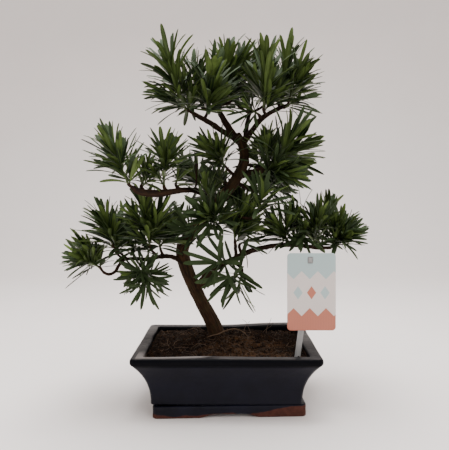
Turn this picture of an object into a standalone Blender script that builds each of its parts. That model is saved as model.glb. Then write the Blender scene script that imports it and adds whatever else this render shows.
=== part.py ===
"""A Buddhist pine bonsai: the tree's wood and leafy sprays, its soil, a glazed pot on a drip tray, and a label.

Positions in the tables are millimetres from the middle of the pot, with Z up from the surface that the tray stands
on. The side of the plant that faces the viewer is at -Y. The last step moves the whole so that the middle of its
footprint is at the origin.
"""

import math

import bmesh
import bpy
import numpy as np
from mathutils import Matrix

MM = 0.001
GAP = 0.3
UP = np.array((0.0, 0.0, 1.0))

# Pot, with insets measured inwards from the outside of the rim.
POT_LENGTH = 209.0
POT_WIDTH = 150.0
POT_TOP = 70.0
RIM_CORNER = 6.0
RIM_BREADTH = 12.5
LIP_BOTTOM = 61.5
LIP_INSET = 2.2
BODY_BOTTOM = 14.3
WAIST_INSET = 20.2
FLARE_POWER = 2.2
BODY_STEPS = 6
WALL = 7.0
POT_FLOOR = 21.3
INNER_HEIGHTS = (60.0, 50.0, 42.0, 32.0, POT_FLOOR)
FOOT_INSET = 8.0
FOOT_SIZE = (22.0, 17.0)
FOOT_CORNER = 4.0
DRAIN_RADIUS = 7.0
DRAIN_OFFSET = 38.0
CORNER_POINTS = 4

# Drip tray, which stands a little to the right under the pot, with its left end turned forwards.
TRAY_LENGTH = 170.5
TRAY_WIDTH = 113.0
TRAY_TOP = 13.4
TRAY_WALL = 4.0
TRAY_FLOOR_TOP = 8.3
TRAY_FLOOR_UNDER = 5.2
TRAY_SKIRT = 5.0
TRAY_CORNER = 5.0
TRAY_SHIFT = 1.5
TRAY_TURN = math.radians(2.2)
ARCH_RISE = 4.5
ARCH_LONG = (15.0, 38.0)
ARCH_SHORT = (8.0, 24.0)
ARCH_STEPS = 5

# Soil, heaped a little round the trunk.
SOIL_EDGE = 64.5
SOIL_HEAP = 4.5
SOIL_SPREAD = (55.0, 38.0)
SOIL_RIPPLE = 0.7
SOIL_RINGS = 4
HOLE_CLEARANCE = 0.45

# Plant label: a plain card on a plastic stake, whose tongue goes through a slot in the card.
CARD_SIZE = (54.0, 86.0)
CARD_THICKNESS = 0.8
CARD_CORNER = 4.0
CARD_CENTRE = (94.5, 138.3)
CARD_FRONT = -52.0
SLOT_SIZE = (6.0, 7.4)
SLOT_CENTRE = (93.2, 173.5)
STAKE_WIDTH = 6.4
STAKE_THICKNESS = 1.4
STAKE_FOOT = (76.2, 44.0)
STAKE_HEAD = (94.4, 181.0)
TONGUE_SIZE = (4.8, 6.0)
TONGUE_PROUD = 0.7

# Wood: (x, y, z, radius) down each centre line. The trunk starts in the soil.
TRUNK = [
    (-5, 30, 40, 9.2), (-12, 30, 69, 9.8), (-20, 30, 88, 9.2), (-33, 30, 112, 8.5), (-46, 29, 140, 8.5),
    (-54, 27, 163, 8.4), (-55, 20, 181, 8.0), (-44, 13, 199, 7.5), (-24, 10, 221, 7.0), (-6, 12, 243, 6.6),
    (11, 16, 266, 6.4), (21, 18, 286, 6.2), (22, 20, 302, 5.8), (17, 20, 317, 5.2), (13, 20, 325, 3.6),
]
LIMBS = {
    "crown_left": [(17, 20, 313, 4.0), (6, 15, 321, 3.6), (-6, 10, 327, 3.4), (-20, 0, 335, 3.1),
                   (-31, -6, 340, 2.8), (-40, -10, 345, 2.4)],
    "crown_middle": [(16, 20, 316, 4.2), (6, 22, 328, 3.9), (-3, 24, 342, 3.6), (-10, 24, 356, 3.1),
                     (-12, 20, 366, 2.5)],
    "crown_right": [(20, 20, 312, 4.0), (33, 14, 329, 3.4), (42, 8, 340, 3.1), (52, 4, 347, 2.9),
                    (65, 0, 353, 2.5), (76, 0, 357, 2.1)],
    "crown_back": [(21, 20, 305, 3.8), (25, 34, 326, 3.2), (28, 46, 346, 2.8), (32, 55, 360, 2.4)],
    "low_right": [(-36, 28, 130, 5.6), (-21, 20, 149, 4.6), (-9, 12, 159, 4.0), (7, 8, 167, 3.3),
                  (29, 10, 177, 3.0), (50, 16, 182, 3.0), (69, 22, 184, 2.9), (94, 26, 183, 2.7),
                  (117, 28, 180, 2.4), (134, 29, 180, 2.0)],
    "low_left": [(-54, 24, 160, 3.8), (-66, 16, 169, 2.9), (-80, 9, 171, 2.6), (-98, 4, 168, 2.4),
                 (-112, 2, 169, 2.1), (-125, 0, 168, 2.0), (-131, -2, 161, 1.9), (-135, -4, 154, 1.9),
                 (-142, -6, 151, 1.8), (-149, -8, 154, 1.7)],
    "upper_left": [(-14, 10, 232, 4.6), (-26, -2, 246, 3.7), (-38, -12, 252, 3.3), (-52, -24, 252, 3.2),
                   (-63, -34, 250, 3.5), (-75, -44, 248, 3.9), (-88, -50, 248, 4.0), (-98, -54, 250, 3.6),
                   (-104, -56, 254, 2.6)],
    "mid_right": [(15, 17, 271, 4.4), (30, 6, 275, 3.4), (42, -6, 278, 2.9), (54, -13, 283, 2.4)],
}
# A sawn-off stub on the front of the trunk, a bare twig that ends in a broad dead bud, and the surface roots.
STUB = [(12, 16, 268, 5.6), (20, 6, 281, 5.0), (24, 0, 290, 4.2)]
BARE_TWIG = [(-38, -12, 251, 1.6), (-36, -13, 262, 1.2), (-36, -13, 278, 1.2), (-36, -13, 284, 2.8)]
ROOTS = [
    [(-11, 30, 64, 6.0), (-1, 26, 66, 3.8), (11, 20, 63, 2.4), (18, 17, 58, 1.6)],
    [(-13, 30, 64, 6.0), (-25, 25, 66, 3.6), (-36, 19, 62, 2.2), (-43, 15, 57, 1.5)],
    [(-12, 29, 64, 5.6), (-12, 17, 65.5, 3.4), (-9, 6, 62, 2.1), (-6, 0, 57, 1.5)],
    [(-12, 31, 64, 5.6), (-17, 42, 65.5, 3.2), (-24, 50, 61, 2.0), (-28, 54, 56, 1.4)],
]

TRUNK_SIDES = 10
TRUNK_STEPS = 23
LIMB_SIDES = 6
LIMB_STEPS_PER_POINT = 1.2
ROOT_SIDES = 5
ROOT_STEPS = 5
STUB_SIDES = 8
STUB_STEPS = 4

# Leafy sprays: name, the limb that bears it, the foot where the green stem begins, and a point beyond the end of
# each stem, where its leaves are thickest.
SPRAYS = [
    ("crown_left_high", "crown_left", (-50, -12, 352), [(-68, -22, 407)]),
    ("crown_left_low", "crown_left", (-47, -15, 348), [(-72, -27, 366)]),
    ("crown_left_front", "crown_left", (-23, -16, 345), [(-18, -34, 381)]),
    ("crown_left_inner", "crown_middle", (-31, 6, 357), [(-38, 2, 396)]),
    ("crown_middle_front", "crown_middle", (-3, 11, 366), [(1, 2, 409)]),
    ("crown_middle_high", "crown_middle", (6, 23, 368), [(16, 15, 417)]),
    ("crown_middle_back", "crown_back", (26, 33, 372), [(33, 34, 414)]),
    ("crown_right_front", "crown_right", (44, -14, 351), [(46, -28, 397)]),
    ("crown_right_high", "crown_right", (64, 5, 362), [(74, 8, 413)]),
    ("crown_right_end", "crown_right", (77, -3, 365), [(85, -11, 395)]),
    ("crown_right_under", "crown_right", (37, -8, 345), [(25, -20, 350)]),
    ("crown_right_low", "crown_right", (71, -12, 352), [(85, -24, 361)]),
    ("crown_back_left", "crown_back", (12, 52, 371), [(-5, 64, 421)]),
    ("crown_back_middle", "crown_back", (34, 63, 371), [(44, 80, 424)]),
    ("crown_back_right", "crown_back", (48, 52, 366), [(79, 62, 404)]),
    ("crown_back_far", "crown_middle", (-24, 33, 362), [(-52, 48, 395)]),
    ("mid_right_front", "mid_right", (60, -19, 287), [(75, -32, 313), (84, -12, 302)]),
    ("mid_right_upright", "mid_right", (51, -3, 290), [(50, 0, 310)]),
    ("mid_right_side", "mid_right", (54, 3, 281), [(80, 20, 290)]),
    ("mid_right_low", "mid_right", (44, -17, 272), [(68, -31, 270)]),
    ("mid_right_back", "trunk", (46, 45, 287), [(73, 66, 308)]),
    ("upper_left_end", "upper_left", (-108, -60, 259), [(-124, -66, 298)]),
    ("upper_left_inner", "upper_left", (-96, -42, 258), [(-93, -30, 276)]),
    ("upper_left_high", "upper_left", (-71, -41, 258), [(-70, -47, 296)]),
    ("upper_left_side", "upper_left", (-59, -27, 260), [(-52, -22, 281)]),
    ("low_left_upright", "low_left", (-92, -12, 187), [(-96, -24, 229), (-80, -20, 220)]),
    ("low_left_high", "low_left", (-137, -9, 188), [(-143, -19, 217)]),
    ("low_left_fork", "low_left", (-136, 2, 178), [(-144, -2, 208), (-130, 14, 206)]),
    ("low_left_end", "low_left", (-155, -8, 161), [(-170, -14, 170), (-166, 2, 187)]),
    ("low_left_hanging", "low_left", (-98, -4, 155), [(-95, -24, 139)]),
    ("low_left_inner", "low_left", (-82, 7, 182), [(-84, 0, 214), (-66, 16, 208)]),
    ("low_left_small", "low_left", (-113, -4, 177), [(-112, -16, 192)]),
    ("centre_front", "trunk", (-10, -16, 210), [(-21, -40, 227)]),
    ("centre_upright", "upper_left", (-20, -13, 241), [(-25, -21, 261)]),
    ("centre_left_high", "trunk", (-3, 2, 284), [(-18, -5, 302)]),
    ("centre_left_mid", "trunk", (-4, -4, 263), [(-18, -12, 272)]),
    ("centre_right_front", "trunk", (35, -33, 226), [(42, -48, 248)]),
    ("centre_low", "low_right", (10, -4, 194), [(7, -12, 226), (25, 8, 219)]),
    ("trunk_shoot", "trunk", (-33, -7, 196), [(-47, -26, 209)]),
    ("centre_low_left", "low_right", (3, -10, 164), [(-14, -30, 169)]),
    ("hanging_right", "low_right", (19, -5, 153), [(13, -10, 131), (-1, -26, 149)]),
    ("small_tuft", "low_right", (17, 4, 187), [(28, 0, 193)]),
    ("low_right_end", "low_right", (139, 28, 184), [(144, 26, 207), (147, 17, 198)]),
    ("low_right_high", "low_right", (123, 32, 187), [(132, 34, 225)]),
    ("low_right_front", "low_right", (111, 20, 187), [(115, 10, 219)]),
    ("low_right_middle", "low_right", (95, 34, 190), [(99, 40, 226)]),
    ("low_right_near", "low_right", (77, 15, 190), [(65, 8, 209)]),
    ("low_right_fork", "low_right", (91, 17, 190), [(97, 0, 209), (84, 36, 226)]),
    ("low_right_back", "low_right", (108, 44, 190), [(129, 64, 209)]),
    ("back_left", "trunk", (-29, 48, 254), [(-50, 68, 282)]),
    ("back_right", "trunk", (46, 48, 254), [(73, 70, 268)]),
    ("back_low", "trunk", (16, 46, 222), [(19, 74, 245)]),
    ("back_middle", "trunk", (-11, 50, 240), [(-20, 76, 258)]),
]
STEM_RADIUS = 1.3
STEM_SIDES = 4
STEM_TIP_RADIUS = 1.1
STEM_SHORTER = 5.0
SHORTER_AT_MOST = 0.3
FORK_AT = 2.0
TWIG_RADIUS = 1.5
TWIG_RADIUS_AT_MOST = 2.4
TWIG_LEAN = 0.35
NEAREST_STEPS = 120
TWIG_SIDES = 4
TWIG_STEPS = 4

# Leaves: narrow straps set round the stem by the golden angle, steeper towards its end.
GOLDEN_ANGLE = math.radians(137.5)
LEAF_LENGTH = 43.0
LEAF_HALF_WIDTH = 2.9
LEAF_KEEL = 1.3
LEAF_RINGS = ((0.0, 0.3, 0.5), (0.56, 1.0, 1.0))
LEAVES_AT_LEAST = 4
LEAVES_PER_MM = 0.115
FIRST_LEAF_AT = 0.15
LEAF_TILT_LOW = math.radians(58)
LEAF_TILT_HIGH = math.radians(12)
LEAF_CLOSING = 1.3
LEAF_ARCH = math.radians(16)
LEAF_SAG = 0.08
LEAF_LENGTHS = (0.86, 1.1)
LEAF_SHORTENING = 0.12
LAST_LEAF_AT = 0.985
TILT_JITTER = 0.12
TURN_JITTER = 0.2
LEAF_SAMPLES = 15
LEAF_CLEAR = 0.6
OWN_LEAVES_APART = 4.0
OUTER_SAMPLE = 6
LEAF_TRIES = [(1.0, turn) for turn in (0, 14, -14, 28, -28, 42, -42, 60, -60)]
LEAF_TRIES += [(length, turn) for length in (0.85, 0.7) for turn in (0, 20, -20, 40, -40)]
SEED = 7
# A spray's own habit: how much larger its leaves are than the rest, how many radians wider they spread, and how full
# the spray is.
HABITS = {
    "crown_left_front": (1.2, 0, 1), "crown_right_front": (1.2, 0, 1), "crown_middle_front": (1.1, 0, 1),
    "crown_right_high": (1.1, 0, 1), "mid_right_front": (1.15, 0, 0.9), "hanging_right": (1.0, 0.45, 0.55),
    "low_left_hanging": (0.8, 0.55, 0.8), "low_left_end": (0.9, 0.2, 1), "centre_right_front": (1.0, 0.05, 0.9),
    "centre_low_left": (1.0, 0.25, 0.7), "low_right_end": (0.95, 0, 1), "small_tuft": (0.8, 0.3, 0.6),
    "crown_right_low": (0.9, 0, 0.8), "centre_left_high": (1.0, 0, 0.8), "centre_left_mid": (1.0, 0, 0.7),
    "crown_left_high": (1.1, 0.2, 1), "crown_right_under": (0.75, 0.1, 0.8), "upper_left_inner": (0.65, 0.15, 1),
    "upper_left_side": (0.75, 0.1, 0.9), "upper_left_high": (1.0, 0.2, 1), "mid_right_upright": (0.85, 0.1, 1),
    "trunk_shoot": (0.9, 0.1, 0.7),
}
PLAIN_HABIT = (1.0, 0, 1)


def unit(v):
    v = np.asarray(v, float)
    return v / np.linalg.norm(v, axis=-1, keepdims=True)


def smooth_line(points, count):
    """Evenly spaced points of the Catmull-Rom curve through the rows, whose last column may be a radius."""
    p = np.asarray(points, float)
    p = np.vstack([2 * p[0] - p[1], p, 2 * p[-1] - p[-2]])
    t = np.linspace(0, len(p) - 3 - 1e-9, count)
    i = t.astype(int)
    f = (t - i)[:, None]
    a, b, c, d = p[i], p[i + 1], p[i + 2], p[i + 3]
    return 0.5 * (2 * b + (c - a) * f + (2 * a - 5 * b + 4 * c - d) * f**2 + (3 * b - a - 3 * c + d) * f**3)


def bent_line(start, end, start_way, end_way, count):
    """A curve between two points that leaves and arrives along the given directions."""
    reach = np.linalg.norm(np.subtract(end, start))
    t = np.linspace(0, 1, count)[:, None]
    a = (2 * t**3 - 3 * t**2 + 1) * start + (t**3 - 2 * t**2 + t) * reach * start_way
    return a + (3 * t**2 - 2 * t**3) * end + (t**3 - t**2) * reach * end_way


def square_to(direction):
    """A unit vector square to a direction."""
    helper = np.array((1.0, 0.0, 0.0)) if abs(direction[0]) < 0.8 else UP
    return unit(np.cross(direction, helper))


def carried_frames(line, end_way=None):
    """The direction of the line at each point, and two vectors square to it that are carried along without twist."""
    along = unit(np.gradient(line, axis=0))
    if end_way is not None:
        along[-1] = end_way
    first = [square_to(along[0])]
    for direction in along[1:]:
        first.append(unit(first[-1] - direction * np.dot(first[-1], direction)))
    first = np.array(first)
    return along, first, np.cross(along, first)


def material(name, colour, roughness):
    made = bpy.data.materials.get(name)
    if made is None:
        made = bpy.data.materials.new(name)
        made.use_nodes = True
        shader = made.node_tree.nodes["Principled BSDF"]
        shader.inputs["Base Color"].default_value = (*colour, 1.0)
        shader.inputs["Roughness"].default_value = roughness
        shader.inputs["Metallic"].default_value = 0.0
    return made


def mesh_object(name, points, faces, finish=None):
    """An object from points in millimetres, with its faces turned outwards."""
    mesh = bpy.data.meshes.new(name)
    mesh.from_pydata((np.asarray(points, float) * MM).tolist(), [], faces)
    work = bmesh.new()
    work.from_mesh(mesh)
    bmesh.ops.recalc_face_normals(work, faces=work.faces)
    work.to_mesh(mesh)
    work.free()
    made = bpy.data.objects.new(name, mesh)
    bpy.context.scene.collection.objects.link(made)
    if finish is not None:
        mesh.materials.append(finish)
    return made


def ring_faces(count, first, second):
    """The side faces between two rings of equal point count, given the index of each ring's first point."""
    step = [(i, (i + 1) % count) for i in range(count)]
    return [(first + i, first + j, second + j, second + i) for i, j in step]


def loft(name, rings, finish=None):
    """A closed solid through rings of equal point count, capped at both ends."""
    count = len(rings[0])
    last = (len(rings) - 1) * count
    faces = [tuple(range(count)), tuple(range(last, last + count))]
    for r in range(len(rings) - 1):
        faces += ring_faces(count, r * count, (r + 1) * count)
    return mesh_object(name, np.vstack(rings), faces, finish)


def rounded_ring(half_x, half_y, corner, z, centre=(0.0, 0.0)):
    """Points round a level rectangle whose corners are arcs, anticlockwise from the right-hand side."""
    arc = np.linspace(0, math.pi / 2, CORNER_POINTS)
    rows = []
    for quarter, (sx, sy) in enumerate(((1, 1), (-1, 1), (-1, -1), (1, -1))):
        turn = arc + quarter * math.pi / 2
        rows.append(np.stack([sx * (half_x - corner) + corner * np.cos(turn),
                              sy * (half_y - corner) + corner * np.sin(turn)], axis=1))
    flat = np.vstack(rows) + centre
    return np.column_stack([flat, np.full(len(flat), z)])


def tube(name, rows, sides, finish=None, extra=0.0, end_way=None):
    """A tapering round tube along rows of (x, y, z, radius), with flat ends. Extra makes it that much larger all over,
    its ends included, and the last end is square to end_way where that is given."""
    rows = np.asarray(rows, float)
    line = rows[:, :3].copy()
    along, first, second = carried_frames(line, end_way)
    line[0] -= along[0] * extra
    line[-1] += along[-1] * extra
    turn = np.arange(sides) * 2 * math.pi / sides
    rings = [centre + radius * (np.outer(np.cos(turn), a) + np.outer(np.sin(turn), b))
             for centre, radius, a, b in zip(line, rows[:, 3] + extra, first, second)]
    return loft(name, rings, finish)


def apply_modifiers(obj):
    """Writes the object's evaluated shape into its own mesh."""
    bpy.context.view_layer.update()
    graph = bpy.context.evaluated_depsgraph_get()
    mesh = bpy.data.meshes.new_from_object(obj.evaluated_get(graph))
    obj.modifiers.clear()
    old = obj.data
    obj.data = mesh
    bpy.data.meshes.remove(old)


def drop_sealed_pockets(obj):
    """Keeps the outer skin alone: a pocket that joining leaves shut inside is filled, and a loose scrap is dropped."""
    work = bmesh.new()
    work.from_mesh(obj.data)
    left = set(work.verts)
    shells = []
    while left:
        shell = {left.pop()}
        edge = set(shell)
        while edge:
            edge = {e.other_vert(v) for v in edge for e in v.link_edges} & left
            left -= edge
            shell |= edge
        shells.append(shell)
    shells.sort(key=len)
    for shell in shells[:-1]:
        bmesh.ops.delete(work, geom=list(shell), context="VERTS")
    work.to_mesh(obj.data)
    work.free()


def boolean(obj, others, operation):
    """Joins the others to the object, or cuts them from it, and removes them."""
    group = bpy.data.collections.new(obj.name + "_tools")
    bpy.context.scene.collection.children.link(group)
    for other in others:
        bpy.context.scene.collection.objects.unlink(other)
        group.objects.link(other)
    modifier = obj.modifiers.new("boolean", "BOOLEAN")
    modifier.operation = operation
    modifier.operand_type = "COLLECTION"
    modifier.collection = group
    modifier.solver = "EXACT"
    apply_modifiers(obj)
    for other in others:
        bpy.data.objects.remove(other)
    bpy.data.collections.remove(group)
    drop_sealed_pockets(obj)
    return obj


def shade(obj, degrees):
    obj.data.shade_smooth()
    obj.data.set_sharp_from_angle(angle=math.radians(degrees))


def pot_inset(z):
    """How far the outside of the body stands in from the rim at a height: least under the lip and most at the foot,
    along a hollow power curve."""
    share = np.clip((z - BODY_BOTTOM) / (LIP_BOTTOM - BODY_BOTTOM), 0, 1)
    return LIP_INSET + (WAIST_INSET - LIP_INSET) * (1 - share**FLARE_POWER)


def pot_inner_inset(z):
    return max(RIM_BREADTH + 0.8, pot_inset(z) + WALL)


def pot_ring(inset, z):
    return rounded_ring(POT_LENGTH / 2 - inset, POT_WIDTH / 2 - inset, RIM_CORNER - 0.1 * inset, z)


def make_pot():
    glaze = material("dark_blue_glaze", (0.012, 0.014, 0.022), 0.3)
    rings = [pot_ring(pot_inset(z), z) for z in np.linspace(BODY_BOTTOM, LIP_BOTTOM, BODY_STEPS + 1)]
    rings += [pot_ring(0.3, 64.2), pot_ring(0.0, 67.6), pot_ring(0.9, 69.5), pot_ring(2.4, POT_TOP),
              pot_ring(RIM_BREADTH, POT_TOP - 0.3), pot_ring(RIM_BREADTH + 0.8, POT_TOP - 1.4)]
    rings += [pot_ring(pot_inner_inset(z), z) for z in INNER_HEIGHTS]
    pot = loft("pot", rings, glaze)
    half_x = POT_LENGTH / 2 - WAIST_INSET - FOOT_INSET - FOOT_SIZE[0] / 2
    half_y = POT_WIDTH / 2 - WAIST_INSET - FOOT_INSET - FOOT_SIZE[1] / 2
    levels = ((1.2, TRAY_FLOOR_TOP + GAP), (0.0, BODY_BOTTOM + 2.0))
    feet = [loft("foot", [rounded_ring(FOOT_SIZE[0] / 2 - taper, FOOT_SIZE[1] / 2 - taper, FOOT_CORNER, z,
                                       (sx * half_x, sy * half_y)) for taper, z in levels])
            for sx in (-1, 1) for sy in (-1, 1)]
    boolean(pot, feet, "UNION")
    drains = [tube("drain", [(side * DRAIN_OFFSET, 0, BODY_BOTTOM - 2, DRAIN_RADIUS),
                             (side * DRAIN_OFFSET, 0, POT_FLOOR + 2, DRAIN_RADIUS)], 12) for side in (-1, 1)]
    boolean(pot, drains, "DIFFERENCE")
    shade(pot, 35)
    return pot


def arch_outline(flat, reach):
    """An arch from below the tray: a cosine rise from each end to a flat middle, as (sideways, z)."""
    share = np.linspace(0, 1, ARCH_STEPS)
    rise = ARCH_RISE * (1 - np.cos(math.pi * share)) / 2
    left = [(-reach + (reach - flat) * s, z) for s, z in zip(share, rise)]
    right = [(-x, z) for x, z in reversed(left)]
    return [(-reach, -2.0), *left, *right, (reach, -2.0)]


def make_tray():
    finish = material("tray_glaze_and_clay", (0.10, 0.045, 0.032), 0.45)
    profile = [(TRAY_SKIRT, TRAY_FLOOR_UNDER), (TRAY_SKIRT, 0.0), (0.6, 0.0), (0.0, 1.0), (0.0, TRAY_TOP - 1.2),
               (0.8, TRAY_TOP), (TRAY_WALL - 0.6, TRAY_TOP), (TRAY_WALL, TRAY_TOP - 1.0),
               (TRAY_WALL + 0.8, TRAY_FLOOR_TOP)]
    tray = loft("drip_tray", [
        rounded_ring(TRAY_LENGTH / 2 - inset, TRAY_WIDTH / 2 - inset, TRAY_CORNER - 0.4 * inset, z, (TRAY_SHIFT, 0))
        for inset, z in profile], finish)
    front = [np.array([(x + TRAY_SHIFT, y, z) for x, z in arch_outline(*ARCH_LONG)])
             for y in (-TRAY_WIDTH, TRAY_WIDTH)]
    side = [np.array([(x, y, z) for y, z in arch_outline(*ARCH_SHORT)]) for x in (-TRAY_LENGTH, TRAY_LENGTH)]
    boolean(tray, [loft("front_arch", front), loft("side_arch", side)], "DIFFERENCE")
    tray.data.transform(Matrix.Rotation(TRAY_TURN, 4, "Z"))
    shade(tray, 35)
    return tray


def soil_height(x, y):
    """The soil's surface: level at the edge, heaped in a bell shape at the trunk, with a few shallow ripples."""
    foot = TRUNK[1]
    bell = np.exp(-((x - foot[0]) / SOIL_SPREAD[0]) ** 2 - ((y - foot[1]) / SOIL_SPREAD[1]) ** 2)
    return SOIL_EDGE + SOIL_HEAP * bell + SOIL_RIPPLE * np.sin(x / 11.0) * np.cos(y / 9.0)


def make_soil():
    finish = material("dark_soil", (0.020, 0.013, 0.009), 0.95)
    heights = [POT_FLOOR + GAP, 32.0, 42.0, 50.0, SOIL_EDGE - 3.0]
    rings = [pot_ring(pot_inner_inset(z) + GAP, z) for z in heights]
    edge = pot_ring(pot_inner_inset(SOIL_EDGE) + GAP, SOIL_EDGE)
    for share in np.linspace(1, 0, SOIL_RINGS + 1)[:-1]:
        ring = edge * (share, share, 1)
        ring[:, 2] = soil_height(ring[:, 0], ring[:, 1])
        rings.append(ring)
    soil = loft("soil", rings, finish)
    holes = [tube("hole", trunk_rows(), TRUNK_SIDES, extra=HOLE_CLEARANCE)]
    holes += [tube("hole", smooth_line(rows, ROOT_STEPS), ROOT_SIDES, extra=HOLE_CLEARANCE) for rows in ROOTS]
    holes.append(stake_strip("hole", HOLE_CLEARANCE))
    boolean(soil, holes, "DIFFERENCE")
    shade(soil, 40)
    return soil


def stake_strip(name, extra=0.0, finish=None):
    """The flat leaning strip behind the card, with a blunt point in the soil. Extra makes it larger all round."""
    foot = np.array((STAKE_FOOT[0], STAKE_FOOT[1]))
    head = np.array((STAKE_HEAD[0], STAKE_HEAD[1]))
    way = unit(head - foot)
    across = np.array((way[1], -way[0]))
    half = STAKE_WIDTH / 2 + extra
    foot = foot - way * extra
    shoulder = foot + way * 7.0
    outline = [foot - across * (1.2 + extra), shoulder - across * half, head - across * half,
               head + across * half, shoulder + across * half, foot + across * (1.2 + extra)]
    front = CARD_FRONT + CARD_THICKNESS + GAP - extra
    back = CARD_FRONT + CARD_THICKNESS + GAP + STAKE_THICKNESS + extra
    return loft(name, [np.array([(x, y, z) for x, z in outline]) for y in (front, back)], finish)


def make_stake():
    finish = material("clear_plastic", (0.62, 0.60, 0.57), 0.3)
    stake = stake_strip("label_stake", finish=finish)
    x, z = SLOT_CENTRE
    half_x, half_z = TONGUE_SIZE[0] / 2, TONGUE_SIZE[1] / 2
    corners = [(x - half_x, z - half_z), (x + half_x, z - half_z), (x + half_x, z + half_z), (x - half_x, z + half_z)]
    front = CARD_FRONT - TONGUE_PROUD
    back = CARD_FRONT + CARD_THICKNESS + GAP + STAKE_THICKNESS / 2
    tongue = loft("tongue", [np.array([(a, y, b) for a, b in corners]) for y in (front, back)])
    return boolean(stake, [tongue], "UNION")


def upright_card(name, size, centre, corner, front, back, finish=None):
    flat = rounded_ring(size[0] / 2, size[1] / 2, corner, 0.0, centre)
    return loft(name, [np.column_stack([flat[:, 0], np.full(len(flat), y), flat[:, 1]]) for y in (front, back)],
                finish)


def make_card():
    finish = material("label_card", (0.66, 0.60, 0.55), 0.45)
    back = CARD_FRONT + CARD_THICKNESS
    card = upright_card("label_card", CARD_SIZE, CARD_CENTRE, CARD_CORNER, CARD_FRONT, back, finish)
    slot = upright_card("slot", SLOT_SIZE, SLOT_CENTRE, 1.0, CARD_FRONT - 1, back + 1)
    return boolean(card, [slot], "DIFFERENCE")


def trunk_rows():
    return smooth_line(TRUNK, TRUNK_STEPS)


def limb_rows(name):
    if name == "trunk":
        return trunk_rows()
    points = LIMBS[name]
    return smooth_line(points, int(LIMB_STEPS_PER_POINT * len(points)) + 1)


def twig_rows(limb, foot, stem_way):
    """A twig from the limb's nearest stretch, and a little nearer the trunk, to a spray's foot, where it points along
    the stem."""
    line = smooth_line(TRUNK if limb == "trunk" else LIMBS[limb], NEAREST_STEPS)
    foot = np.asarray(foot, float)
    far = np.linalg.norm(line[:, :3] - foot, axis=1)
    nearest = int(np.argmin(far))
    step = np.linalg.norm(line[1, :3] - line[0, :3])
    start = line[max(nearest - int(TWIG_LEAN * far[nearest] / step), 2)]
    out = unit(foot - start[:3])
    path = bent_line(start[:3], foot, out, stem_way, TWIG_STEPS)
    radii = np.linspace(min(start[3] * 0.75, TWIG_RADIUS_AT_MOST), TWIG_RADIUS, TWIG_STEPS)
    return np.column_stack([path, radii])


def stem_rows(foot, tips, fork):
    """The two ends of a green stem. The first stem begins a gap beyond the twig's end, and a fork's second one begins
    inside the first."""
    way = spray_way(foot, tips)
    start = np.asarray(foot, float) + way * (GAP if fork == 0 else FORK_AT)
    whole = np.subtract(tips[fork], start)
    end = start + whole * (1 - min(STEM_SHORTER / np.linalg.norm(whole), SHORTER_AT_MOST))
    return np.array([(*start, STEM_RADIUS), (*end, STEM_TIP_RADIUS)])


def make_wood():
    bark = material("brown_bark", (0.085, 0.045, 0.030), 0.85)
    wood = tube("trunk_and_branches", trunk_rows(), TRUNK_SIDES, bark)
    parts = [tube("limb", limb_rows(name), LIMB_SIDES) for name in LIMBS]
    parts += [tube("root", smooth_line(rows, ROOT_STEPS), ROOT_SIDES) for rows in ROOTS]
    parts.append(tube("stub", smooth_line(STUB, STUB_STEPS), STUB_SIDES))
    parts.append(tube("bare_twig", BARE_TWIG, TWIG_SIDES))
    for _, limb, foot, tips in SPRAYS:
        way = spray_way(foot, tips)
        parts.append(tube("twig", twig_rows(limb, foot, way), TWIG_SIDES, end_way=way))
    boolean(wood, parts, "UNION")
    shade(wood, 50)
    return wood


def spray_way(foot, tips):
    """The direction in which the spray's first stem leaves its foot."""
    return unit(np.subtract(tips[0], foot))


def leaf_midline(root, stem_way, turn, tilt, length, count):
    """A leaf's centre line with its width and upward directions. It leaves the stem at its tilt and arches outwards
    and down."""
    side = square_to(stem_way)
    outward = math.cos(turn) * side + math.sin(turn) * np.cross(stem_way, side)
    step = length / (count - 1)
    angle = tilt + LEAF_ARCH * np.linspace(0, 1, count)
    way = np.outer(np.cos(angle), stem_way) + np.outer(np.sin(angle), outward)
    way = unit(way - UP * LEAF_SAG * np.linspace(0, 1, count)[:, None])
    line = root + np.vstack([np.zeros(3), np.cumsum(way[:-1] * step, axis=0)])
    across = unit(np.cross(stem_way, outward))
    upper = unit(np.cross(across, way))
    return line, across, upper


def leaf_half_width(share):
    """Half the blade's width along its length: narrow at the root, widest in the middle, and a blunt point."""
    return LEAF_HALF_WIDTH * np.interp(share, (0, 0.42, 0.78, 1), (0.3, 1.0, 0.8, 0.1))


WOOD = -1
LABEL = -2


class Room:
    """What is already placed, as balls along centre lines, so that a new leaf can keep clear of it."""

    def __init__(self):
        self.points = np.zeros((0, 3))
        self.radii = np.zeros(0)
        self.owners = np.zeros(0, int)

    def fill(self, points, radii, owner):
        points = np.atleast_2d(points)
        self.points = np.vstack([self.points, points])
        self.radii = np.append(self.radii, np.broadcast_to(radii, len(points)))
        self.owners = np.append(self.owners, np.full(len(points), owner))

    def fill_rows(self, rows, owner):
        """A tube's rows, filled in between so that no ball is far from the next."""
        rows = np.asarray(rows, float)
        for a, b in zip(rows[:-1], rows[1:]):
            count = 2 + int(np.linalg.norm(b[:3] - a[:3]) / 1.5)
            between = a + np.linspace(0, 1, count)[:, None] * (b - a)
            self.fill(between[:, :3], between[:, 3], owner)

    def clearance(self, points, radii, owner):
        """The least distance left between the given balls and those of every other owner."""
        others = self.owners != owner
        apart = np.linalg.norm(points[:, None] - self.points[others][None], axis=2)
        return (apart - radii[:, None] - self.radii[others][None]).min()


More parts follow.
